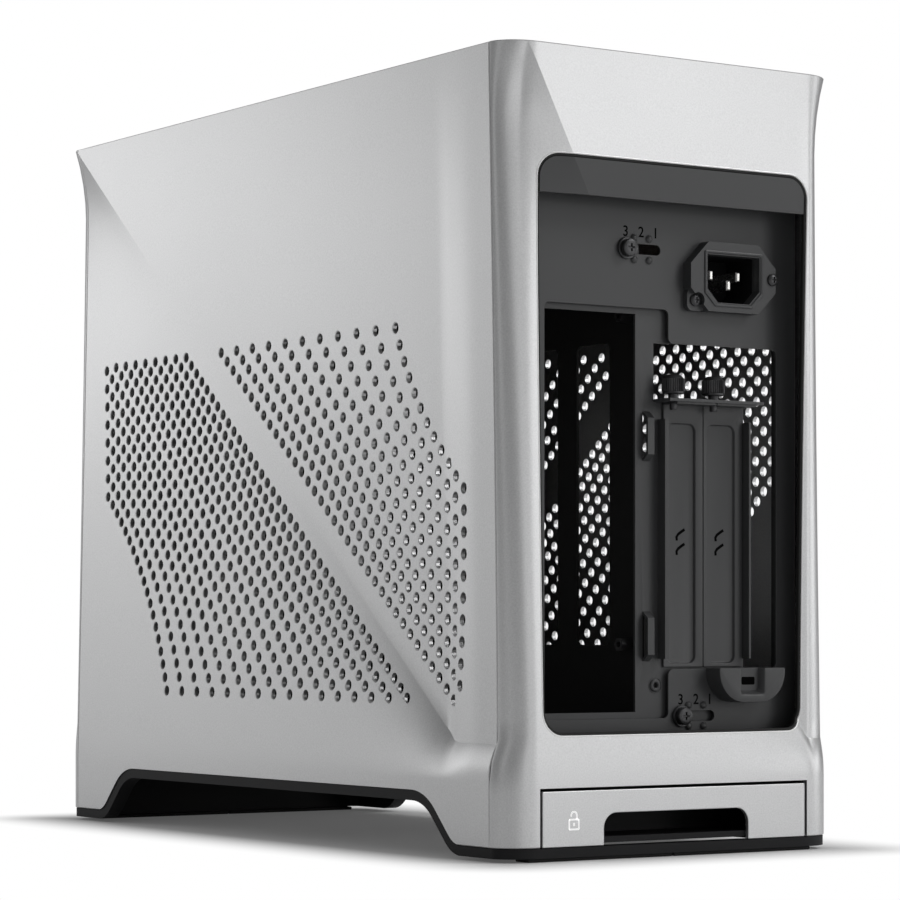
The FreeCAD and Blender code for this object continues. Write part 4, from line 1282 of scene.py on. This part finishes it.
    def build(self) -> None:
        """Make both shells, the rim with its painted highlight, and the near-black ring inside it."""
        material = self.finishes[Slot.SILVER]
        plain = self.shell()
        front = half_turn(plain, "front_shell_mesh")
        half = self.drawer_half
        notch = rounded(rect(-half, half, self.drawer_foot, self.drawer_top, self.drawer_round), steps=3)
        cuts = [slab(self.opening_outline(), "rear_opening"), slab(notch, "drawer_notch")]
        rear = carved(plain, cuts)
        Piece("rear_shell_skin", Body.CHASSIS, Slot.SILVER, ("rear_shell",)).place(rear, material)
        Piece("front_shell_skin", Body.CHASSIS, Slot.SILVER, ("front_shell",)).place(front, material)
        END.sharpen(rear, -AXIS_X)
        END.sharpen(front, AXIS_X)
        Piece("opening_edge", Body.CHASSIS, Slot.SILVER).place(self.opening_edge(), self.finishes.edge)
        dark_ring = Piece("opening_liner", Body.CHASSIS, Slot.INSIDE)
        dark_ring.place(self.opening_liner(), self.finishes[Slot.INSIDE])


def joined(meshes: Iterable[Mesh], name: str) -> Mesh:
    """One mesh that holds several.

    Args:
        meshes: the meshes.
        name: the mesh's name.

    Returns:
        The mesh.
    """
    bm = bmesh.new()
    for mesh in meshes:
        bm.from_mesh(mesh)
    return mesh_from(bm, name)


def ribbon(path: Sequence[Point2], width: float, y: float, thick: float, name: str) -> Mesh:
    """Flat printed line on a plane that faces the rear.

    Args:
        path: X and Z of its points in millimetres.
        width: its width.
        y: plane that it lies on.
        thick: how far it stands off that plane.
        name: the mesh's name.

    Returns:
        The mesh.
    """
    rings = []
    for i, here in enumerate(path):
        back = Vector(path[max(i - 1, 0)])
        ahead = Vector(path[min(i + 1, len(path) - 1)])
        run = (ahead - back).normalized()
        side = Vector((-run.y, run.x)) * width / 2
        a = Vector(here) + side
        b = Vector(here) - side
        rings.append([metres((p.x, q, p.y)) for p, q in ((a, y), (b, y), (b, y + thick), (a, y + thick))])
    return tube_of(rings, name)


def arc(centre: Point2, radius: float, first: float, last: float, steps: int) -> list[Point2]:
    """Points along an arc, its ends given in degrees."""
    angles = [math.radians(first + (last - first) * k / steps) for k in range(steps + 1)]
    return [(centre[0] + radius * math.cos(a), centre[1] + radius * math.sin(a)) for a in angles]


SOFT_NODES = (
    ("rear_wall", 0.3, Body.CHASSIS, Slot.STEEL), ("spine_plate", 0.25, Body.SPINE, Slot.STEEL),
    ("inlet_bezel", 0.5, Body.CHASSIS, Slot.PLASTIC), ("release_face", 0.3, Body.DRAWER, Slot.SILVER),
    ("base_frame", 0.4, Body.CHASSIS, Slot.PLASTIC), ("top_port_bar", 0.4, Body.CHASSIS, Slot.PLASTIC),
    ("foot_pads", 0.5, Body.CHASSIS, Slot.PAD),
)


@dataclass
class SoftEdges:
    """Rounds the edges of plain CAD nodes so that they catch the light."""

    finishes: Finishes
    weld: float = 1e-6
    flat: float = math.radians(1.0)
    sharp: float = math.radians(32.0)
    segments: int = 2

    def soften(self, node: str, width: float) -> Mesh:
        """Copy of a node with rounded edges.

        Args:
            node: the CAD node.
            width: width of the rounding in millimetres.

        Returns:
            The mesh.
        """
        bm = bmesh.new()
        bm.from_mesh(frame["nodes"][node].data)
        bmesh.ops.remove_doubles(bm, verts=bm.verts, dist=self.weld)
        bmesh.ops.dissolve_limit(bm, angle_limit=self.flat, verts=bm.verts, edges=bm.edges)
        edges = [edge for edge in bm.edges if edge.is_manifold and edge.calc_face_angle() > self.sharp]
        bmesh.ops.bevel(bm, geom=edges, offset=width * MM, offset_type="OFFSET", segments=self.segments,
                        profile=0.5, affect="EDGES", clamp_overlap=True)
        return mesh_from(bm, node + "_mesh")

    def build(self) -> None:
        """Stand a soft copy in for every listed node."""
        for node, width, body, slot in SOFT_NODES:
            own = self.finishes.bezel if node == "inlet_bezel" else self.finishes[slot]
            Piece(node + "_soft", body, slot, (node,), SOFT_ANGLE).place(self.soften(node, width), own)


@dataclass(frozen=True)
class CrossScrew:
    """A screw with a cross recess, its head facing the rear."""

    seat: Triple
    head: Points
    sides: int
    shank: float
    tail: float
    washer: Points = ()
    cross: float = 2.9
    cross_width: float = 0.8
    cross_depth: float = 0.9
    cross_taper: float = 0.55
    cross_over: float = 1.0
    washer_sides: int = 40
    shank_sides: int = 16

    def mesh(self, name: str) -> Mesh:
        """The screw's mesh.

        Args:
            name: the mesh's name.

        Returns:
            The mesh.
        """
        x, y, z = self.seat
        body = tube_of(turned(self.head, self.seat, "Y", self.sides), name)
        crown = y + self.head[-1][0]
        bars = []
        for u, v in ((self.cross, self.cross_width), (self.cross_width, self.cross)):
            outline = rounded(rect(x - u / 2, x + u / 2, z - v / 2, z + v / 2, 0.0), steps=1)
            floor = [(x + (a - x) * self.cross_taper, z + (b - z) * self.cross_taper) for a, b in outline]
            bars.append(tube_of([facing_rear(floor, crown - self.cross_depth), facing_rear(outline, crown),
                                 facing_rear(outline, crown + self.cross_over)], "cross_bar"))
        parts = [carved(body, bars)]
        if self.washer:
            parts.append(tube_of(turned(self.washer, self.seat, "Y", self.washer_sides), "washer"))
        pin = [(-self.tail, self.shank), (0.0, self.shank)]
        parts.append(tube_of(turned(pin, self.seat, "Y", self.shank_sides), "shank"))
        return joined(parts, name)


@dataclass
class RearRecess:
    """What sits on the fixed rear wall: valance, inlet, lock boss, numerals and dimples."""

    finishes: Finishes
    shells: EndShells
    wall_face: float = 167.8
    numeral_size: float = 5.9
    numeral_thick: float = 0.05
    numeral_bold: float = 0.06
    top_numerals: tuple[float, ...] = (14.2, 6.5, -0.7)
    top_numeral_z: float = 247.9
    low_numerals: tuple[float, ...] = (-13.4, -21.2, -28.2)
    low_numeral_z: float = 61.5
    dimples: Points = (
        (10.2, 245.6), (10.2, 237.0), (2.7, 245.6), (2.7, 237.0),
        (-17.2, 59.3), (-17.2, 50.8), (-24.8, 59.3), (-24.8, 50.8))
    dimple_profile: Points = (
        (-0.3, 1.9), (0.08, 1.9), (0.1, 1.75), (-0.25, 1.6), (0.1, 1.5), (0.6, 1.25), (0.95, 0.8),
        (1.1, 0.35), (1.15, 0.0))
    dimple_sides: int = 24
    valance_left: float = 63.4
    valance_right: float = -66.7
    valance_bottom: float = 259.0
    valance_top: float = 273.1
    valance_round: float = 8.2
    valance_sheet: float = 1.6
    valance_sink: float = 0.35
    fold_sheet: float = 1.2
    fold_end: float = 174.5
    lock_x: float = -43.4
    lock_half: float = 17.0
    lock_top: float = 74.3
    lock_bottom: float = 60.3
    lock_round: float = 12.6
    lock_face: float = 176.8
    lock_recess: Triple = (6.2, 63.4, 3.2)
    lock_slot: Triple = (3.4, 67.4, 70.6)
    lock_corner: float = 0.5
    notch_corner: float = 1.6
    slit_round: float = 0.6
    slit_span: Point2 = (-1.0, 0.03)
    inlet_x: float = -36.7
    inlet_low: float = 221.6
    inlet_half: float = 13.4
    inlet_height: float = 19.2
    inlet_chamfer: float = 5.4
    inlet_face: float = 172.8
    inlet_corner: float = 1.0
    lip_section: Points = (
        (1.7, -0.1), (1.6, 0.35), (1.2, 0.55), (0.7, 0.45), (0.15, -0.3), (-0.1, -3.5), (0.6, -3.6))
    screw_head: Points = ((0.0, 2.5), (0.7, 2.45), (1.1, 2.05), (1.3, 1.6), (1.4, 1.2))
    screw_sides: int = 32
    screw_shank: float = 1.2
    low_screw: Triple = (-18.7, 170.3, 222.2)
    high_screw: Triple = (-56.7, 172.8, 232.3)

    def valance(self) -> Mesh:
        """Dark sheet in the top of the opening, with its fold back to the wall.

        Returns:
            The mesh.
        """
        left = self.valance_left
        right = self.valance_right
        r = self.valance_round
        corners = [(right, self.valance_bottom, 0.0), (left, self.valance_bottom, 0.0),
                   (left, self.valance_top, r), (right, self.valance_top, r)]
        outline = rounded(corners, steps=12)
        sheet = self.shells.flat_sheet(self.valance_sink, self.valance_sheet)
        face = carved(sheet, [slab(outline, "valance_keep")], keep=True)
        top = self.valance_top
        strip = rounded(rect(right + r, left - r, top - self.fold_sheet, top, 0.0), steps=1)
        return joined([face, slab(strip, "valance_fold", (self.wall_face, self.fold_end))], "valance_mesh")

    def numerals(self) -> Mesh:
        """The two rows of numerals that count the spine's places.

        Returns:
            The mesh.
        """
        rows = [(x, self.top_numeral_z) for x in self.top_numerals]
        rows += [(x, self.low_numeral_z) for x in self.low_numerals]
        axes = Matrix(((-1.0, 0.0, 0.0), (0.0, 0.0, 1.0), (0.0, 1.0, 0.0))).to_4x4()
        parts = []
        for (x, z), digit in zip(rows, "321321"):
            letter = bpy.data.curves.new("numeral_" + digit, "FONT")
            letter.body = digit
            letter.size = self.numeral_size * MM
            letter.extrude = self.numeral_thick * MM
            letter.offset = self.numeral_bold * MM
            letter.align_x = "CENTER"
            letter.align_y = "CENTER"
            mesh = evaluated(linked("helper_numeral", letter), "numeral")
            mesh.transform(Matrix.Translation(metres((x, self.wall_face, z))) @ axes)
            parts.append(mesh)
        return joined(parts, "numerals_mesh")

    def dimple_mesh(self) -> Mesh:
        """All pressed dimples, each a low dome with a ring pressed round it.

        Returns:
            The mesh.
        """
        graph = Graph("dimples", Dimple="Object")
        points = graph.node("GeometryNodeMeshToPoints", {}, {"Mesh": graph.given("Geometry")})
        graph.close(graph.copies(points, "Dimple"))
        dome = tube_of(turned(self.dimple_profile, ORIGIN, "Y", self.dimple_sides), "dimple")
        centres = points_mesh([(x, self.wall_face, z) for x, z in self.dimples], "dimple_centres")
        values = {"Dimple": dome, "Finish": self.finishes[Slot.STEEL]}
        return graph.run(centres, values, "dimples_mesh")

    def lock_outline(self, inset: float, notch: float, low: float) -> list[Point2]:
        """Outline of the lock boss with the notch that is open at its top.

        Args:
            inset: how far inside the boss's edge.
            notch: half width of the notch.
            low: lowest point of the notch.

        Returns:
            The outline's points.
        """
        x = self.lock_x
        u = self.lock_half - inset
        r = self.lock_round - inset
        bottom = self.lock_bottom + inset
        top = self.lock_top - inset
        c = self.lock_corner
        n = self.notch_corner
        right = [(x + u, bottom, r), (x + u, top, c), (x + notch, top, c), (x + notch, low, n)]
        left = [(2 * x - a, b, size) for a, b, size in reversed(right)]
        return rounded(left[-1:] + right + left[:-1], steps=10)

    def lock_boss(self) -> Mesh:
        """Half-round boss with a sloping notch.

        Returns:
            The mesh.
        """
        half, low, deep = self.lock_recess
        face = self.lock_face
        floor = face - deep
        x = self.lock_x
        low_round = self.lock_round
        c = self.lock_corner
        back = rounded([(x - self.lock_half, self.lock_bottom, low_round),
                        (x + self.lock_half, self.lock_bottom, low_round),
                        (x + self.lock_half, self.lock_top, c), (x - self.lock_half, self.lock_top, c)],
                       steps=12)
        bm = bmesh.new()
        add_tube(bm, [facing_rear(back, self.wall_face), facing_rear(back, floor)])
        stack = ((0.0, half - 1.0, low + 1.8, floor), (0.0, half - 0.2, low + 0.3, face - 0.6),
                 (0.15, half + 0.1, low - 0.1, face - 0.15), (0.6, half + 0.5, low - 0.5, face))
        add_tube(bm, [facing_rear(self.lock_outline(inset, notch, foot), y)
                      for inset, notch, foot, y in stack])
        return mesh_from(bm, "lock_boss_mesh")

    def lock_slit(self) -> Mesh:
        """Black patch on the floor of the notch that paints the shade seen through the lock's slot.

        Returns:
            The mesh.
        """
        wide, first, last = self.lock_slot
        floor = self.lock_face - self.lock_recess[2]
        outline = rounded(rect(self.lock_x - wide, self.lock_x + wide, first, last, self.slit_round), steps=4)
        return slab(outline, "lock_slit_mesh", tuple(floor + step for step in self.slit_span))

    def inlet_outline(self, grow: float) -> list[Point2]:
        """Outline of the mains inlet's mouth.

        Args:
            grow: how far outside the mouth.

        Returns:
            The outline's points.
        """
        u = self.inlet_half + grow
        low = self.inlet_low - grow
        high = self.inlet_low + self.inlet_height + grow
        c = self.inlet_chamfer
        x = self.inlet_x
        corners = [(x - u + c, low), (x + u - c, low), (x + u, low + c), (x + u, high), (x - u, high),
                   (x - u, low + c)]
        return rounded([(*corner, self.inlet_corner) for corner in corners], steps=4)

    def inlet_lip(self) -> Mesh:
        """Rounded lip round the mouth of the mains inlet."""
        rings = [facing_rear(self.inlet_outline(grow), self.inlet_face + y) for grow, y in self.lip_section]
        return ring_of(rings, "inlet_lip_mesh")

    def inlet_screws(self) -> Mesh:
        """The two pan-head screws of the inlet.

        Returns:
            The mesh.
        """
        parts = [CrossScrew(seat, self.screw_head, self.screw_sides, self.screw_shank, tail,
                            cross=2.6, cross_width=0.7).mesh("inlet_screw")
                 for seat, tail in ((self.low_screw, 2.0), (self.high_screw, 4.0))]
        return joined(parts, "inlet_screws_mesh")

    def build(self) -> None:
        """Make every piece of the rear wall."""
        steel = self.finishes[Slot.STEEL]
        screw = self.finishes[Slot.SCREW]
        ink_and_shade = self.finishes.ink_and_shade
        valance = self.valance()
        rows = (
            ("valance_skin", Slot.STEEL, ("rear_valance",), valance, steel),
            ("lock_boss", Slot.STEEL, ("lock_bracket",), self.lock_boss(), steel),
            # The lock slit is a black patch of painted shade where the slot opens into the case
            ("lock_slit", Slot.STEEL, (), self.lock_slit(), ink_and_shade),
            ("inlet_lip", Slot.PLASTIC, (), self.inlet_lip(), self.finishes.bezel),
            ("inlet_cross_screws", Slot.SCREW, ("inlet_screws",), self.inlet_screws(), screw),
            ("wall_numerals", Slot.STEEL, (), self.numerals(), ink_and_shade),
            ("wall_dimples", Slot.STEEL, (), self.dimple_mesh(), steel),
        )
        for name, slot, replaced, mesh, material in rows:
            Piece(name, Body.CHASSIS, slot, replaced).place(mesh, material)
        END.sharpen(valance, -AXIS_X)


@dataclass
class SpineDress:
    """What sits on the sliding spine: slot covers, thumbscrews, clamp screws and rivet."""

    finishes: Finishes
    slot_edge: float = -5.7
    slot_pitch: float = 20.32
    slot_gap: float = 0.16
    cover_back: float = 165.5
    cover_front: float = 166.4
    cover_bottom: float = 74.7
    cover_top: float = 180.8
    cover_round: float = 0.6
    tab_end: float = 175.4
    tab_round: float = 0.3
    tab_sheet: float = 0.9
    pad_half: float = 7.05
    pad_shift: float = 1.0
    pad_bottom: float = 76.3
    pad_top: float = 172.5
    pad_round: float = 3.0
    pad_depth: float = 1.3
    slit_places: Points = ((-15.1, 128.2), (-15.1, 122.4), (-35.0, 128.2), (-35.0, 122.4))
    slit_hook: Points = ((-2.4, 1.9), (-0.8, 1.0), (0.9, -0.1), (1.7, -1.2), (1.5, -2.6))
    slit_width: float = 1.15
    slit_thick: float = 0.03
    thumb_y: float = 171.0
    thumb_xs: Point2 = (-7.2, -27.52)
    thumb_base: float = 183.9
    thumb_sides: int = 48
    shank_profile: Points = (
        (-6.3, 0.0), (-6.3, 1.2), (-5.9, 1.5), (-2.0, 1.5), (-1.9, 2.1), (0.0, 2.1))
    knob_profile: Points = (
        (0.0, 0.5), (0.3, 0.1), (0.9, 0.1), (1.1, 0.3), (6.0, 0.3), (6.2, 0.2), (6.9, 0.8), (7.6, 1.7),
        (7.8, 2.2))
    rib_count: int = 32
    rib_radius: float = 4.5
    rib_sink: float = 0.1
    rib_span: Point2 = (1.05, 6.1)
    rib_outline: Points = ((-0.3, -0.24), (0.18, -0.14), (0.3, 0.0), (0.18, 0.14), (-0.3, 0.24))
    rivet: Triple = (-2.2, 165.4, 67.4)
    rivet_profile: Points = (
        (-2.4, 1.6), (-0.3, 1.6), (-0.3, 3.2), (0.12, 3.2), (0.15, 3.05), (-0.2, 2.85), (-0.2, 2.65),
        (0.5, 2.5), (0.8, 2.1), (0.85, 1.5), (0.6, 1.1), (-1.0, 0.95), (-1.0, 0.0))
    rivet_sides: int = 36
    clamp_seats: tuple[Triple, ...] = ((13.9, 167.95, 241.3), (-13.5, 167.95, 55.0))
    clamp_washer: Points = ((0.0, 4.3), (0.2, 4.4), (0.8, 4.4), (1.0, 4.2))
    clamp_head: Points = ((1.0, 3.3), (1.2, 3.5), (3.0, 3.5), (3.35, 3.2), (3.5, 2.7), (3.6, 2.2))
    clamp_sides: int = 36
    clamp_shank: float = 1.75
    clamp_tail: float = 4.9

    def cover(self, index: int) -> Mesh:
        """One slot cover with its pressed pad and its tab.

        Args:
            index: 0 for the inner cover and 1 for the outer one.

        Returns:
            The mesh.
        """
        left = self.slot_edge - index * self.slot_pitch - self.slot_gap
        right = left - self.slot_pitch + 2 * self.slot_gap
        middle = (left + right) / 2 + self.pad_shift

        def blank(inset: float, y: float) -> list[Vector]:
            """Ring of the cover's edge."""
            corners = rect(right + inset, left - inset, self.cover_bottom + inset, self.cover_top - inset,
                           self.cover_round)
            return facing_rear(rounded(corners, steps=6), y)

        def pad(grow: float, y: float) -> list[Vector]:
            """Ring of the pressed pad.

            Args:
                grow: how far outside the pad's edge.
                y: plane that it lies on.

            Returns:
                The ring's points.
            """
            half = self.pad_half + grow
            corners = rect(middle - half, middle + half, self.pad_bottom - grow, self.pad_top + grow,
                           self.pad_round + grow)
            return facing_rear(rounded(corners, steps=6), y)
        back = self.cover_back
        front = self.cover_front
        deep = self.pad_depth
        rings = [pad(0.4, back - deep), pad(0.9, back - deep + 0.4), pad(0.9, back), blank(0.0, back),
                 blank(0.0, front - 0.15), blank(0.15, front), pad(0.5, front), pad(0.25, front - 0.12),
                 pad(0.0, front - 0.5), pad(-0.15, front - deep + 0.15), pad(-0.45, front - deep)]
        fold = rounded(rect(right, left, back, self.tab_end, self.tab_round), steps=3)
        heights = (self.cover_top - self.tab_sheet, self.cover_top)
        bm = bmesh.new()
        add_tube(bm, rings)
        add_tube(bm, [[metres((x, y, z)) for x, y in fold] for z in heights])
        return mesh_from(bm, "slot_cover_mesh")

    def slits(self) -> Mesh:
        """The two hooked slits in each cover, drawn as black ribbons that paint the shade seen through them.

        Returns:
            The mesh.
        """
        y = self.cover_front - self.pad_depth
        parts = []
        for x, z in self.slit_places:
            hook = [(x + u, z + v) for u, v in self.slit_hook]
            parts.append(ribbon(hook, self.slit_width, y, self.slit_thick, "slit"))
        return joined(parts, "slits_mesh")

    def knurl_graph(self) -> Graph:
        """Tree that sets ribs round a knob, turned to face outwards, and joins them to it.

        Returns:
            The tree.
        """
        graph = Graph("knurl", Rib="Object", Centre="Vector", Count="Int", Radius="Float")
        count = graph.given("Count")
        size = {"Vertices": count, "Radius": graph.given("Radius")}
        circle = graph.node("GeometryNodeMeshCircle", {}, size)
        angle = graph.node("GeometryNodeInputIndex", {}, {}) * (2 * math.pi / count)
        turn = graph.node("ShaderNodeCombineXYZ", {}, {"Z": angle})
        ribs = {"Geometry": graph.copies(circle, "Rib", Rotation=turn), "Translation": graph.given("Centre")}
        placed = graph.node("GeometryNodeTransform", {}, ribs)
        graph.close(graph.joined(placed, graph.given("Geometry")))
        return graph

    def thumbscrew(self, x: float, graph: Graph) -> Mesh:
        """One knurled hand screw.

        Args:
            x: its place along the shelf.
            graph: the knurl's tree.

        Returns:
            The mesh.
        """
        base = (x, self.thumb_y, self.thumb_base)
        r = self.rib_radius
        dome = [(along, r - inset) for along, inset in self.knob_profile]
        profile = [*self.shank_profile, *dome, (dome[-1][0], 0.0)]
        knob = tube_of(turned(profile, base, "Z", self.thumb_sides), "thumb_knob")
        rib = tube_of([[metres((u, v, z)) for u, v in self.rib_outline] for z in self.rib_span], "thumb_rib")
        values = {"Rib": rib, "Centre": metres(base), "Count": self.rib_count,
                  "Radius": (r - self.rib_sink) * MM, "Finish": self.finishes[Slot.SCREW]}
        return graph.run(knob, values, "thumbscrew_mesh")

    def clamp_screws(self) -> Mesh:
        """The two screws with a washer that clamp the spine to the wall.

        Returns:
            The mesh.
        """
        parts = [CrossScrew(seat, self.clamp_head, self.clamp_sides, self.clamp_shank, self.clamp_tail,
                            self.clamp_washer, cross=3.4, cross_width=0.9).mesh("clamp_screw")
                 for seat in self.clamp_seats]
        return joined(parts, "clamp_screws_mesh")

    def rivet_mesh(self) -> Mesh:
        """Hollow rivet: a low rounded ring with its bore."""
        return tube_of(turned(self.rivet_profile, self.rivet, "Y", self.rivet_sides), "rivet_mesh")

    def build(self) -> None:
        """Make every piece of the spine."""
        steel = self.finishes[Slot.STEEL]
        screw = self.finishes[Slot.SCREW]
        graph = self.knurl_graph()
        for index, end in enumerate(("inner", "outer")):
            cover = Piece("slot_cover_" + end + "_pressed", Body.SPINE, Slot.STEEL, ("slot_cover_" + end,))
            cover.place(self.cover(index), steel)
            knob = Piece("thumbscrew_" + end + "_knurled", Body.SPINE, Slot.SCREW, ("thumbscrew_" + end,))
            knob.place(self.thumbscrew(self.thumb_xs[index], graph), screw)
        # The slits are black ribbons of painted shade
        Piece("cover_slits", Body.SPINE, Slot.STEEL).place(self.slits(), self.finishes.ink_and_shade)
        Piece("clamp_screws", Body.SPINE, Slot.SCREW, ("spine_screws",)).place(self.clamp_screws(), screw)
        Piece("tray_rivet", Body.SPINE, Slot.STEEL, ("spine_rivet",)).place(self.rivet_mesh(), steel)


@dataclass
class BaseDress:
    """Release drawer's lock mark and the weave of the bottom filter."""

    finishes: Finishes
    mark_x: float = 50.5
    mark_z: float = 14.3
    mark_line: float = 0.62
    mark_half: Point2 = (2.3, 1.9)
    shackle: Triple = (1.35, 3.6, 3.1)
    key_half: float = 0.6
    key_width: float = 0.8
    print_thick: float = 0.03
    weave_pitch: float = 2.2
    weave_wire: float = 0.3
    weave_half: float = 58.5
    weave_front: float = -142.5
    weave_rear: float = 84.5
    weave_z: float = 27.4
    wire_sides: int = 5

    def padlock(self) -> Mesh:
        """Open padlock mark, printed pale.

        Returns:
            The mesh.
        """
        x = self.mark_x
        z = self.mark_z
        u, v = self.mark_half
        r, rise, stop = self.shackle
        box = [(x + u, z - v), (x - u, z - v), (x - u, z + v), (x + u, z + v), (x + u, z - v)]
        turn = arc((x, z + rise), r, 180.0, 0.0, steps=12)
        bow = [(x - r, z + v), (x - r, z + rise), *turn, (x + r, z + stop)]
        key = [(x, z - self.key_half), (x, z + self.key_half)]
        lines = [(list(side), self.mark_line) for side in zip(box, box[1:])]
        lines += [(bow, self.mark_line), (key, self.key_width)]
        parts = [ribbon(line, width, HALF_LENGTH, self.print_thick, "mark_line") for line, width in lines]
        return joined(parts, "padlock_mesh")

    def weave_graph(self) -> Graph:
        """Tree that repeats one wire along each direction of the filter.

        Returns:
            The tree.
        """
        graph = Graph("weave", Across="Object", Along="Object", Pitch="Float", Width="Float", Length="Float")
        pitch = graph.given("Pitch")
        layers = []
        for key, span, axis in (("Across", "Length", "Y"), ("Along", "Width", "X")):
            offset = graph.node("ShaderNodeCombineXYZ", {}, {axis: pitch})
            count = graph.given(span) / pitch
            line = graph.node("GeometryNodeMeshLine", {}, {"Count": count, "Offset": offset})
            layers.append(graph.copies(line, key))
        graph.close(graph.joined(*layers))
        return graph

    def wire(self, first: Sequence[float], last: Sequence[float], axis: str) -> Mesh:
        """One straight wire of the net."""
        ends = [ring(end, self.weave_wire / 2, self.wire_sides, axis) for end in (first, last)]
        return tube_of(ends, "wire")

    def weave(self) -> Mesh:
        """Woven net inside the filter's frame.

        Returns:
            The mesh.
        """
        half = self.weave_half
        low = self.weave_z
        high = low + self.weave_wire / 2
        start = self.weave_front + self.weave_pitch / 2
        side = self.weave_pitch / 2 - half
        values = {"Across": self.wire((-half, start, low), (half, start, low), "X"),
                  "Along": self.wire((side, self.weave_front, high), (side, self.weave_rear, high), "Y"),
                  "Pitch": self.weave_pitch * MM, "Width": 2 * half * MM,
                  "Length": (self.weave_rear - self.weave_front) * MM,
                  "Finish": self.finishes[Slot.MESH]}
        return self.weave_graph().run(bpy.data.meshes.new("weave_start"), values, "weave_mesh")

    def build(self) -> None:
        """Make the mark and the net."""
        # The padlock mark is pale print with a painted sheen from its glow
        Piece("release_mark", Body.DRAWER, Slot.SILVER).place(self.padlock(), self.finishes.print)
        Piece("filter_weave", Body.CHASSIS, Slot.MESH).place(self.weave(), self.finishes[Slot.MESH])


@dataclass(frozen=True)
class Lamp:
    """A soft square lamp: its name, its place in metres and its power in watts."""

    name: str
    place: Triple
    power: float
    size: float = 0.6
    aim: Triple = (0.0, 0.0, 0.16)

    def build(self) -> None:
        """Hang the lamp so that it faces the case."""
        data = bpy.data.lights.new(self.name, "AREA")
        data.energy = self.power
        data.size = self.size
        made = linked(self.name, data)
        made.location = self.place
        made.rotation_euler = (Vector(self.aim) - Vector(self.place)).to_track_quat("-Z", "Y").to_euler()


LAMPS = (
    Lamp("rear_low", (0.0, 1.7, 0.25), 0.8),
    Lamp("rear_right_low", (-0.85, 1.47, 0.25), 1.5),
    Lamp("rear_right_mid", (-0.81, 1.4, 0.69), 1.0),
    Lamp("rear_right_high", (-0.95, 0.95, 1.21), 7.0),
    Lamp("far_right_low", (-1.54, 0.72, 0.25), 1.9),
    Lamp("side_mid", (0.77, -1.45, 0.6), 1.35),
    Lamp("side_low", (0.61, -1.58, 0.28), 0.15),
    Lamp("side_level", (0.85, -1.46, 0.2), 0.7),
    Lamp("side_rear", (1.55, 0.55, 0.6), 0.4),
)


@dataclass
class Studio:
    """Camera, light and floor."""

    place: Triple = (0.79197, 1.20427, 0.09011)
    yaw: float = 146.2
    lens: float = 130.33
    sensor: float = 36.0
    shift: float = 0.1985
    world_light: float = 0.22
    floor_half: float = 6.0
    floor_tone: Triple = (0.9, 0.9, 0.9)
    floor_roughness: float = 0.8
    footprint: Triple = (0.0825, 0.183, 1.0)
    fade_start: float = -0.01
    fade_end: float = 0.05
    mirror_share: float = 0.3

    def camera(self) -> None:
        """Camera at the photograph's viewing angle."""
        data = bpy.data.cameras.new("view")
        data.lens = self.lens
        data.sensor_width = self.sensor
        data.shift_y = self.shift
        made = linked("view", data)
        made.location = self.place
        made.rotation_euler = (math.radians(90.0), 0.0, math.radians(self.yaw))
        bpy.context.scene.camera = made

    def world(self) -> None:
        """Even world light, pure white where the camera sees it."""
        world = bpy.data.worlds.new("studio")
        world.use_nodes = True
        bpy.context.scene.world = world
        sheet = NodeSheet(world.node_tree)
        sheet.tree.nodes.clear()
        light, seen = [sheet.node("ShaderNodeBackground", {}, {"Color": (*WHITE, 1.0), "Strength": strength})
                       for strength in (self.world_light, 1.0)]
        surface = sheet.mixed_shaders(sheet.rays("Camera"), light, seen)
        sheet.add("ShaderNodeOutputWorld", {}, {"Surface": surface})

    def floor_finish(self) -> Material:
        """Pale finish that glows white away from the case's footprint.

        Returns:
            The material.
        """
        sheet = ShaderSheet("pale_floor")
        sheet.feed("Base Color", self.floor_tone)
        sheet.feed("Roughness", self.floor_roughness)
        past = sheet.vector("SUBTRACT", sheet.vector("ABSOLUTE", sheet.object_place()), self.footprint)
        reach = sheet.vector("LENGTH", sheet.vector("MAXIMUM", past), output="Value")
        fade = sheet.node("ShaderNodeMapRange", {"interpolation_type": "SMOOTHSTEP"},
                          {"Value": reach, "From Min": self.fade_start, "From Max": self.fade_end,
                           "To Min": 0.0, "To Max": 1.0})
        seen = sheet.rays("Camera") + sheet.rays("Glossy") * self.mirror_share + sheet.rays("Transmission")
        glow = sheet.node("ShaderNodeEmission", {}, {"Color": (*WHITE, 1.0), "Strength": 1.0})
        plain = Wire(sheet, sheet.shader.outputs["BSDF"])
        surface = sheet.mixed_shaders(fade * seen, plain, glow)
        sheet.tree.links.new(surface.socket, sheet.tree.nodes["Material Output"].inputs["Surface"])
        return sheet.material

    def floor(self) -> None:
        """Floor that keeps the case's shadow and fades to white away from it."""
        bm = bmesh.new()
        bmesh.ops.create_grid(bm, x_segments=1, y_segments=1, size=self.floor_half)
        mesh = bpy.data.meshes.new("floor")
        bm.to_mesh(mesh)
        bm.free()
        mesh.materials.append(self.floor_finish())
        made = linked("floor", mesh)

    def build(self) -> None:
        """Set up the whole studio."""
        bpy.context.scene.view_settings.view_transform = "Standard"
        self.camera()
        self.world()
        self.floor()
        for lamp in LAMPS:
            lamp.build()


def main() -> None:
    """Build and dress the case."""
    logging.basicConfig(level=logging.INFO, format="%(name)s: %(message)s")
    finishes = Finishes()
    finishes.dress_nodes()
    Studio().build()
    SidePanels(finishes).build()
    shells = EndShells(finishes)
    shells.build()
    RearRecess(finishes, shells).build()
    SpineDress(finishes).build()
    BaseDress(finishes).build()
    SoftEdges(finishes).build()


if __name__ == "__main__":
    main()
